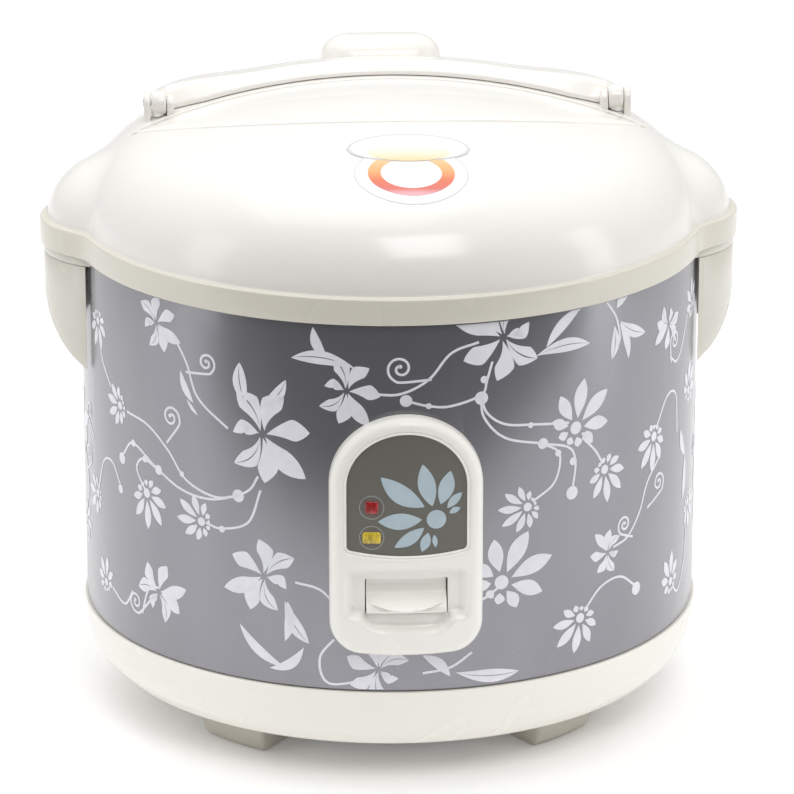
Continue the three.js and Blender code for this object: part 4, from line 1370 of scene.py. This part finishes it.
def make_bezel():
    outline = counterclockwise(arch(PANEL_HALF, PANEL_LOW + 0.2, PANEL_TOP - 1.6, PANEL_HALF - 1.5, 12.5))
    outline = bowed(outline, 1.8, PANEL_HALF, PANEL_LOW + 0.2)
    inlay = inlay_outline()
    opening = counterclockwise(resampled(rectangle(-17.4, 17.4, 82.3, 98.1, 0.6, 3), 1.2))
    back = BODY_R + 0.4
    soft = 4.2
    rows = [on_front(outline, back)]
    rows += [on_front(inset(outline, gone), FACE_R - left) for left, gone in quarter(soft, 9)]
    shapes = [skin(rows)]
    rim = inset(outline, soft)
    groove = inset(inlay, -2.0)
    flat, faces = filled(rim, (groove, opening), 1.3)
    shapes.append((on_front(flat, face_radius(flat)), faces))
    channel = (  # how far outside the inlay, and how deep
        (2.0, 0), (1.7, 0.12), (1.45, 0.45), (1.15, 0.5), (0.95, 0.15), (0.7, 0), (0.4, 0.05),
        (0.15, 0.3), (0.1, 1.7),
    )
    shapes.append(skin([on_front(inset(inlay, -grow), FACE_R - sink) for grow, sink in channel]))
    flat, faces = filled(inset(inlay, -0.1), (), 4)
    shapes.append((on_front(flat, FACE_R - 1.7), faces))
    shapes.append(skin([on_front(opening, face_radius(opening)), on_front(opening, back)]))
    flat, faces = filled(outline, (opening,), 5)
    shapes.append((on_front(flat, back), faces))
    make("panel_frame", joined(*shapes), "cooker_body", "panel", "panel_plastic", "panel_bezel", sharp=60)


def inlay_outline():
    outline = counterclockwise(arch(INLAY_HALF, INLAY_LOW, INLAY_TOP, 23, 1.6))
    return bowed(outline, 2.4, INLAY_HALF, INLAY_LOW)


def make_inlay():
    inlay = inlay_outline()
    wall = ((0.1, 1.6), (0.0, 1.4), (0.0, 0.9), (0.12, 0.7))
    rows = [on_front(inset(inlay, amount), FACE_R - sink) for amount, sink in wall]
    flat, faces = filled(inset(inlay, 0.12), (), 2)
    back, back_faces = filled(inset(inlay, 0.1), (), 6)
    shapes = [skin(rows), (on_front(flat, INLAY_FACE), faces), (on_front(back, FACE_R - 1.6), back_faces)]
    make("panel_sheet", joined(*shapes), "cooker_body", "inlay", "inlay_print", "panel_inlay")


def inlay_print(name, shape, thickness, material):
    """A thin layer on the panel's inlay: print, and the painted shade round each lamp."""
    piece = mesh_object(name, shape)
    thicken(piece, thickness)
    place(piece, "cooker_body", material, "inlay_print")


def make_lamps():
    for lamp, w, h, colour in (("cook", 2.7, 2.7, "red"), ("warm", 3.9, 2.5, "amber")):
        z = LAMPS[lamp]
        centre = np.array([[LAMP_X, z]])
        outline = rounded([
            (LAMP_X - w, z - h, 0.9), (LAMP_X + w, z - h, 0.9), (LAMP_X + w, z + h, 1.1),
            (LAMP_X - w, z + h, 1.1),
        ], 4)
        outline = counterclockwise(resampled(outline, 0.7))
        dome = ((0, -0.7), (0, 0.2), (0.15, 0.42), (0.6, 0.55), (1.3, 0.62))
        rows = [on_front(inset(outline, amount), INLAY_FACE + lift) for amount, lift in dome]
        # the last point is the centre of the painted shade disc round the lamp
        back, middle, printed = [
            tuple(on_front(centre, INLAY_FACE + lift)[0]) for lift in (-0.7, 0.64, 0.05)
        ]
        shape = skin(rows, start=back, end=middle)
        make(lamp + "_lamp_lens", shape, "cooker_body", colour, colour + "_lens", lamp + "_lens", sharp=60)
        loops = [on_front(circle(r, 64, (LAMP_X, z)), INLAY_FACE + 0.07) for r in (5.05 - 0.2, 5.05 + 0.2)]
        inlay_print(lamp + "_lamp_ring", skin(loops), 0.12, "ring_ink")
        # painted shade: a dark warm disc round each lamp lens, inside its printed ring
        loops = [on_front(circle(r, 48, (LAMP_X, z)), INLAY_FACE + 0.05) for r in (0.5, 2.5, 4.6)]
        inlay_print(lamp + "_lamp_shade", skin(loops, start=printed), 0.1, "lamp_shade")


def lever_front(x, z):
    """How far the lever's front stands out, with its raised lens-shaped thumb ledge."""
    heights = (83.0, 84.6, 86.0, 89.0, 91.4, 94.5, 97.6)
    base = np.interp(z, heights, (1.4, 2.2, 1.6, -0.6, -3.4, -4.0, -3.6))
    spread = np.clip(1 - (x / 15.8) ** 2, 0, 1)
    top = 88.2 + 3.2 * np.sqrt(spread)
    foot = 88.2 - 2.7 * spread
    share = (top - z) / np.maximum(top - foot, 1e-6)
    under = np.clip(1 - (z - foot) / -0.9, 0, 1)
    ledge = 3.9 * np.sqrt(spread) * np.where(share > 1, under, np.clip(share, 0, 1))
    return 139.4 + base + ledge - 0.9 * (x / 17) ** 2


def make_lever():
    heights = np.linspace(LEVER_HIGH, LEVER_LOW, 47)
    loops = []
    for x in LEVER_HALF * np.sin(np.linspace(-math.pi / 2, math.pi / 2, 57)):
        spare = LEVER_HALF - abs(x)
        tuck = 0.5 * (1 - math.sqrt(max(0.0, 1 - (1 - min(1.0, spare / 0.5)) ** 2)))
        front = lever_front(x, heights) - tuck
        front[0] -= 0.35
        front[-1] -= 0.35
        loop = [(x, -y, z) for y, z in zip(front, heights)]
        back = ((-139.7, 83.1), (-139.5, 84.7), (-138.4, 85.0), (-134.0, 85.8), (-133.6, 97.2))
        loop += [(x, y, z) for y, z in back]
        loops.append(loop)
    stem = slab(
        np.array([(-5, 85.8), (5, 85.8), (5, 90), (-5, 90)]), -134.5, -116.5, edge=0.4, lay=along_y
    )
    hub = bar(3.6, (-6, -119, 88), (6, -119, 88), 32, 0.4)
    make(
        "thumb_lever", joined(capped(loops), stem, hub), "cook_switch", "panel", "panel_plastic",
        "cook_lever",
        sharp=50,
    )


# ---- flat drawing pieces: leaves, ribbons and dots as grids of (u, v) ----
def leaf(base, tip, width, bend=0.0, widest=0.5, part=(-1, 1), rows=11, columns=5, fan=9):
    """A pointed leaf from base to tip; bend bows it sideways, part keeps one side, fan limits its root."""
    base, tip = np.array(base, float), np.array(tip, float)
    along = tip - base
    side = np.array([-along[1], along[0]]) / max(np.linalg.norm(along), 1e-9)
    power = math.log(0.5) / math.log(widest)
    grid = []
    for t in np.linspace(0, 1, rows):
        middle = base + along * t + side * bend * 4 * t * (1 - t)
        half = width / 2 * math.sin(math.pi * t**power) ** 0.85 if 0 < t < 1 else 0.02
        half = min(half, fan * np.linalg.norm(along) * t + 0.02)
        grid.append([middle + side * half * s for s in np.linspace(part[0], part[1], columns)])
    return np.array(grid)


def ribbon(knots, width, step=1.5):
    """A smooth drawn line through the knots."""
    knots = np.array(knots, float)
    ends = np.concatenate([[2 * knots[0] - knots[1]], knots, [2 * knots[-1] - knots[-2]]])
    path = []
    for i in range(1, len(ends) - 2):
        pieces = max(3, int(np.linalg.norm(ends[i + 1] - ends[i]) / step))
        for k in range(pieces):
            t = k / pieces
            a, b, c, d = ends[i - 1 : i + 3]
            bend = (2 * a - 5 * b + 4 * c - d) * t**2 + (3 * b - a - 3 * c + d) * t**3
            path.append(0.5 * (2 * b + (c - a) * t + bend))
    path = np.array([*path, knots[-1]])
    along = np.gradient(path, axis=0)
    along /= np.maximum(np.linalg.norm(along, axis=1), 1e-9)[:, None]
    side = np.stack([-along[:, 1], along[:, 0]], 1)
    return np.stack([path - side * width / 2, path + side * width / 2], 1)


def dot(centre, radius, sides=20):
    angle = np.linspace(0, TURN, sides + 1)
    rim = np.stack([np.cos(angle), np.sin(angle)], 1) * radius
    return np.stack([np.array(centre) + rim * share for share in (0.02, 0.55, 1.0)], 1)


def laid(grids, surface):
    """Flat grids turned into faces on a surface."""
    return joined(*[
        skin([surface(row[:, 0], row[:, 1]) for row in grid], closed_rows=False) for grid in grids
    ])


def make_panel_flower():
    """Half-open flower printed on the panel's inlay."""
    centre = (12.3, 125.4)
    petals = [
        ((-10.9, 144.2), (7.3, 131.0), 8.2, 1.2), ((6.5, 149.7), (10.6, 131.2), 7.4, 0.3),
        ((18.2, 146.4), (14.1, 131.9), 6.6, -0.3), ((23, 136.6), (16.8, 130.1), 3.6, 0.2),
        ((22.3, 129.9), (17.7, 127.9), 2.6, 0.2), ((-12.1, 124.7), (6.2, 125.4), 7.2, 0.3),
        ((-5.2, 113.4), (7.1, 121.8), 5.4, 0.5), ((6.2, 111.3), (8.9, 119.6), 4.2, 0.2),
        ((12.0, 113.0), (11.4, 118.6), 2.2, 0.0),
    ]
    grids = [leaf(base, tip, width, bend, 0.5, rows=15) for tip, base, width, bend in petals]
    grids.append(dot(centre, 4.1, 32))
    shape = laid(grids, lambda u, v: on_front(np.stack([u, v], 1), INLAY_FACE + 0.05))
    inlay_print("panel_flower", shape, 0.1, "blue_ink")


# ---- flowers printed on the body ----
PRINT_R = BODY_R + 0.12  # just outside the sheet
LINE = 1.05  # width of a drawn line


def on_wall(u, v):
    """Points on the body's wall: u millimetres round from the front, v up."""
    angle = np.asarray(u) / BODY_R
    return np.stack([PRINT_R * np.sin(angle), -PRINT_R * np.cos(angle), np.asarray(v, float)], 1)


def flat_place(angle, height):
    return np.array([math.radians(angle) * BODY_R, height])


def turned_by(vector, degrees):
    c, s = math.cos(math.radians(degrees)), math.sin(math.radians(degrees))
    return np.array([vector[0] * c - vector[1] * s, vector[0] * s + vector[1] * c])


def daisy(angle, height, size, petals=9, lean=0.0, squash=1.0):
    """Flower of separate pointed petals round a small disc, longer on the side it leans to."""
    centre = flat_place(angle, height)
    stretch = np.array([squash, 1])
    grids = [dot(centre, 0.11 * size + 0.4)]
    for k in range(petals):
        turn = lean + 360 * (k + 0.5) / petals
        share = math.cos(math.radians(turn - lean))
        length = size * (0.66 + 0.34 * share + 0.04 * math.sin(5 * k))
        near = centre + turned_by((0.17 * size + 0.5, 0), turn) * stretch
        far = centre + turned_by((length, 0), turn) * stretch
        grids.append(leaf(near, far, size * (0.24 + 0.07 * share) * 9 / petals, 0.02 * size, 0.55, rows=11))
    return grids


def split_petal(base, tip, width, bend, gap=0.07):
    """A petal with a thin vein left open along its middle."""
    grids = []
    for part in ((-1, -gap), (gap, 1)):
        grids.append(leaf(base, tip, width, bend, 0.56, part, rows=13, columns=4, fan=0.4))
    return grids


def lily(angle, height, size, first=0.0, hand=1):
    """Open flower of broad, curved, pointed petals, some of them with a vein."""
    centre = flat_place(angle, height)
    grids = []
    plan = [
        (62, 0.82, 0.4, 0.12, False), (7, 0.84, 0.4, 0.06, False), (-43, 1.04, 0.36, -0.05, False),
        (-88, 0.86, 0.4, 0.08, False), (227, 0.8, 0.34, 0.14, True), (184, 0.56, 0.26, -0.12, False),
        (154, 0.4, 0.16, 0.1, False), (125, 0.84, 0.42, -0.1, True),
    ]
    for turn, length, width, bend, vein in plan:
        turn = first + hand * turn
        base = centre + turned_by((0.07 * size, 0), turn)
        tip = centre + turned_by((length * size, 0), turn)
        if vein:
            grids += split_petal(base, tip, width * size, hand * bend * size)
        else:
            grids.append(leaf(base, tip, width * size, hand * bend * size, 0.56, rows=13, fan=0.4))
    return grids


def spiral(angle, height, size, hand, tail, turns=1.5):
    """Curled end of a tendril, which leaves the curl smoothly to join its stem at the tail."""
    centre = flat_place(angle, height)
    reach = flat_place(*tail) - centre
    away = math.degrees(math.atan2(reach[1], reach[0]) - hand * math.acos(size / np.linalg.norm(reach)))
    first = away - hand * 360 * turns
    knots = []
    count = int(turns * 12)
    for k in range(count + 1):
        share = k / count
        radius = size * (0.16 + 0.84 * share)
        knots.append(centre + turned_by((radius, 0), first + hand * 360 * turns * share))
    knots.append(flat_place(*tail))
    return [ribbon(knots, LINE, 1.0), dot(centre + turned_by((0.16 * size, 0), first), 0.85)]


def vine(*places):
    return [ribbon([flat_place(*knot) for knot in places], LINE)]


def spot(angle, height, radius):
    return [dot(flat_place(angle, height), radius)]


def blade(angle, height, to_angle, to_height, width, bend=0.0, vein=True):
    base, tip = flat_place(angle, height), flat_place(to_angle, to_height)
    if vein:
        return split_petal(base, tip, width, bend)
    return [leaf(base, tip, width, bend)]


def front_pattern():
    """What is printed on the half of the body round the control panel."""
    grids = []
    for angle, height, size, first, hand in (
        (-49.5, 196, 15, 20, 1), (-26, 157, 25, 0, 1), (-26, 94, 20, 160, -1), (-50, 75, 17, 60, 1),
        (-10.5, 179, 17, -15, 1), (17.5, 200, 23, 200, 1), (-5, 56, 17, 150, 1), (40.5, 95, 12, 170, 1),
        (59, 186, 13, 250, 1),
    ):
        grids += lily(angle, height, size, first, hand)
    for angle, height, size, petals, lean, squash in (
        (-61.5, 152, 13, 10, 190, 0.9), (-53, 118, 16, 10, -70, 1), (-39, 113, 14, 10, 165, 1),
        (32.5, 155, 22, 9, 58, 1), (39.5, 133, 15, 10, -65, 1), (22.5, 124, 14, 11, 195, 1),
        (17.5, 92, 25, 9, 40, 1), (54, 139, 16, 10, 245, 0.9), (34, 69, 16, 10, 240, 1),
        (62, 67, 14, 9, 105, 0.9), (-71, 184, 13, 9, 270, 1), (-73, 104, 13, 9, 200, 1),
        (-69, 66, 12, 9, 100, 1), (71, 148, 14, 9, 60, 1), (72, 96, 13, 9, 300, 1),
        (73, 186, 13, 9, 120, 1),
    ):
        grids += daisy(angle, height, size, petals, lean, squash)
    for angle, height, size, hand, tail in (
        (-37.5, 184, 4.8, -1, (-42.2, 178)), (-46, 156, 5.4, -1, (-47.2, 144)),
        (-57, 66, 5.2, 1, (-51, 73)), (-1, 189, 6.0, 1, (4.5, 184)), (56, 117, 5.0, -1, (52, 108)),
        (45, 105, 4.4, 1, (47.5, 98)), (62, 177, 4.6, 1, (60.5, 168)), (-78, 138, 4.6, 1, (-75, 128)),
    ):
        grids += spiral(angle, height, size, hand, tail)
    for angle, height, to_angle, to_height, width, bend, vein in (
        (-29, 168, -30.5, 187, 6.5, 1.6, True), (-27, 168, -21.5, 182, 5.5, -2.2, True),
        (-43.5, 178, -40.5, 165, 3.6, -1.2, False), (-42, 166, -39.5, 160, 1.6, -0.4, False),
        (-9, 189, -20.5, 192, 6.0, -2.4, True), (-14, 193, -16.5, 206, 4.4, 1.6, False),
        (-22, 84, -17.5, 66, 6.0, -1.6, True), (-21.5, 84, -22, 66, 4.6, 1.6, False),
        (-31, 71, -22, 54, 4.4, -2.6, False), (-18.5, 64, -25, 53, 4.4, 3.0, False),
        (26, 193, 33.5, 208, 5.0, 1.6, False), (24, 190, 35.5, 191, 6.0, 2.0, True),
        (42, 203, 46, 211, 5.0, 1.0, False), (41.5, 196, 41, 181, 5.0, 1.4, True),
        (43, 196, 45.5, 179, 4.2, 1.6, False), (43, 197, 50.5, 188, 5.5, -1.6, True),
        (9, 53.5, 21, 51, 6.0, -1.6, True), (3, 62, 8, 52, 4.6, 1.4, False),
        (69, 120, 66, 134, 4.6, 1.2, False), (69, 120, 68, 100, 4.6, 1.2, False),
    ):
        grids += blade(angle, height, to_angle, to_height, width, bend, vein)
    for places in (
        ((-45.5, 194), (-42, 182), (-39.5, 168), (-33, 157)),
        ((39.5, 207), (42, 199), (43, 190), (42.5, 186)),
        ((-59, 151), (-52.5, 149), (-47, 141), (-42.5, 130), (-36, 125.5), (-31, 128)),
        ((-60.5, 131), (-57, 138), (-50, 131), (-43.5, 125), (-37, 124), (-31, 128)),
        ((-31, 128), (-28.5, 132), (-27, 138)), ((-53, 118), (-56, 127), (-54, 133), (-49.5, 130.5)),
        ((-38, 113), (-34.5, 112), (-29, 117), (-26.5, 132)), ((-20, 93), (-15, 90), (-11, 78)),
        ((-12.5, 70), (-15.5, 60), (-14, 49), (-7, 51)), ((3, 54), (8, 56), (12, 62)),
        ((-6, 178), (-1, 178), (4, 184), (8, 195), (13, 199)),
        ((15.5, 190), (14.5, 182), (13.5, 176), (8, 172), (4, 172.5), (0, 175)),
        ((13.5, 176), (14.5, 168), (18, 162), (24, 160), (31, 158)),
        ((13.5, 176), (14, 166), (18, 156), (25.5, 151), (31, 147), (32.5, 140), (32, 129)),
        ((25.5, 151), (29, 145), (28, 133), (23.5, 126)), ((34, 150), (37, 143), (39, 136)),
        ((35, 72), (39, 80.5), (44, 82), (48.5, 75)),
        ((42, 96.5), (46, 99), (49.5, 108), (52, 120), (56.5, 129)),
        ((55, 143), (59, 154), (63, 152), (64, 134)), ((60, 171), (63, 167), (66, 172), (69, 184)),
        ((63, 64), (66, 60), (70, 72), (71, 90)), ((-55, 62), (-53, 74), (-50, 77)),
        ((-66, 66), (-61, 62), (-58, 70)), ((17, 90), (14.5, 86), (12, 84)),
        ((-70, 178), (-69, 168), (-65, 158)), ((-72, 108), (-69, 122), (-65, 124), (-62, 116)),
    ):
        grids += vine(*places)
    for angle, height, radius in (
        (-43.5, 132, 1.3), (-57, 138, 1.6), (-49.5, 130.5, 2.2), (-61, 128.5, 2.6), (-31, 128, 2.8),
        (-53.5, 133, 1.5), (-34.5, 111.7, 1.5), (0, 175, 2.6), (4, 172.5, 1.3), (14, 182.5, 1.6),
        (13.5, 174.5, 2.9), (23, 160, 1.3), (25.5, 151, 2.4), (32, 140.5, 1.8), (31.8, 126.5, 3.0),
        (28.7, 145.5, 1.5), (35, 150.5, 2.0), (48.8, 73.5, 3.0), (-61.8, 114, 2.0),
    ):
        grids += spot(angle, height, radius)
    return grids


def side_pattern():
    """What is printed under each carrying ear."""
    grids = []
    for side in (-1, 1):
        grids += lily(side * 88, 128, 20, 60)
        grids += daisy(side * 84, 84, 13, 10, 15)
        grids += daisy(side * 99, 62, 12, 9, 0)
        grids += spiral(side * 79, 118, 5, side, (side * 82, 108))
        grids += spiral(side * 98, 98, 5, -side, (side * 102, 108))
        grids += vine((side * 84, 90), (side * 80, 100), (side * 82, 112), (side * 87, 122))
        grids += vine((side * 98, 67), (side * 94, 80), (side * 92, 100), (side * 90, 118))
    return grids


def hidden_print(u, v):
    """Places under the panel, the inlet and the hinge cover, and along the seam at the back."""
    angle = u / BODY_R
    x, y = BODY_R * math.sin(angle), -BODY_R * math.cos(angle)
    if y < 0:
        return abs(x) < 30 and 68.5 < v < 140 + math.sqrt(900 - x * x) * 0.95
    return (abs(x) < 20 and 53 < v < 89) or (abs(x) < 36 and v > 179) or abs(x) < 6


def make_print():
    front = front_pattern()
    halfway = np.array([math.pi * BODY_R, 0])
    grids = front + side_pattern() + [grid + halfway for grid in front]
    for grid in grids:
        grid[:, :, 1] = np.clip(grid[:, :, 1], SEAM_Z + 0.7, RIM_Z - 1)
    points, faces = laid(grids, on_wall)
    flat = laid(grids, lambda u, v: np.stack([u, v, 0 * u], 1))[0]
    kept = []
    for face in faces:
        u = sum(flat[i][0] for i in face) / len(face)
        heights = [flat[i][1] for i in face]
        v = sum(heights) / len(face)
        if max(heights) - min(heights) > 1e-4 and not hidden_print(u, v):
            kept.append(face)
    used = sorted({i for face in kept for i in face})
    index = {old: new for new, old in enumerate(used)}
    shape = ([points[i] for i in used], [tuple(index[i] for i in face) for face in kept])
    piece = mesh_object("floral_print", shape)
    thicken(piece, 0.11)
    place(piece, "cooker_body", "ink", "printed_sheet")


# ---- stage, light and camera ----
def make_floor():
    bpy.ops.mesh.primitive_circle_add(vertices=96, radius=6, fill_type="NGON", location=(0, 0, 0))
    floor = bpy.context.object
    floor.name = "floor"
    floor.data.materials.append(MATERIALS["floor"])


def make_world():
    """Bright overhead and at the sides, and dark in front of the object."""
    world = bpy.data.worlds.new("studio")
    world.use_nodes = True
    tree = world.node_tree
    where = tree.nodes.new("ShaderNodeTexCoord")
    split = tree.nodes.new("ShaderNodeSeparateXYZ")
    tree.links.new(where.outputs["Generated"], split.inputs["Vector"])

    def graded(axis, start, stop, low, high):
        span_node = tree.nodes.new("ShaderNodeMapRange")
        span_node.interpolation_type = "SMOOTHSTEP"
        for key, value in (("From Min", start), ("From Max", stop), ("To Min", low), ("To Max", high)):
            span_node.inputs[key].default_value = value
        tree.links.new(split.outputs[axis], span_node.inputs["Value"])
        return span_node.outputs["Result"]

    total = tree.nodes.new("ShaderNodeMath")
    tree.links.new(graded("Z", 0.15, 0.9, 0.0, 0.6), total.inputs[0])
    tree.links.new(graded("Y", -0.9, 0.15, 0.08, 0.6), total.inputs[1])
    tree.links.new(total.outputs["Value"], tree.nodes["Background"].inputs["Strength"])
    tree.nodes["Background"].inputs["Color"].default_value = (1, 1, 1, 1)
    bpy.context.scene.world = world


def area_light(name, place_at, aim, size, power):
    data = bpy.data.lights.new(name, "AREA")
    data.shape = "RECTANGLE"
    data.size, data.size_y = size
    data.energy = power
    light = bpy.data.objects.new(name, data)
    light.location = place_at
    light.rotation_euler = (Vector(aim) - Vector(place_at)).to_track_quat("-Z", "Y").to_euler()
    bpy.context.scene.collection.objects.link(light)


def make_lights():
    area_light("top", (-0.3, 0.1, 2.2), (0, 0, 0.1), (1.6, 1.6), 8.4)
    area_light("front", (0.35, -1.6, 1.9), (0, 0, 0.12), (1.0, 1.0), 12)
    area_light("left", (-1.6, -0.5, 0.6), (0, 0, 0.12), (0.5, 1.2), 2.6)
    area_light("right", (1.7, -0.4, 0.6), (0, 0, 0.12), (0.4, 1.2), 3.0)


def make_camera():
    """A long lens from the front, a little above the lid and a little left of the middle."""
    distance, rise, turn = 2.2, math.radians(18.05), math.radians(-3)
    back = Vector((math.sin(turn) * math.cos(rise), -math.cos(turn) * math.cos(rise), math.sin(rise)))
    side = Vector((math.cos(turn), math.sin(turn), 0))
    aim = Vector((0, 0, 0.1328)) + side * 0.0033
    data = bpy.data.cameras.new("camera")
    data.sensor_width = 36
    data.lens = 225.36
    camera = bpy.data.objects.new("camera", data)
    camera.location = aim + back * distance
    camera.rotation_euler = back.to_track_quat("Z", "Y").to_euler()
    bpy.context.scene.collection.objects.link(camera)
    bpy.context.scene.camera = camera


# ---- the whole object ----
STEPS = (
    make_lid_shell, make_release_plate, make_handle, make_vent, make_sticker, make_lid_inside,
    make_bezel, make_inlay, make_lamps, make_lever, make_panel_flower, make_print,
    make_sheet, make_seam, make_base, make_bottom_cover, make_base_screws, make_feet,
    make_upper_ring, make_grips, make_pot, make_housing, make_hinge, make_inlet,
    paint_carried_nodes, make_floor, make_world, make_lights, make_camera,
)
for step in STEPS:
    step()
bpy.context.scene.view_settings.view_transform = "Standard"
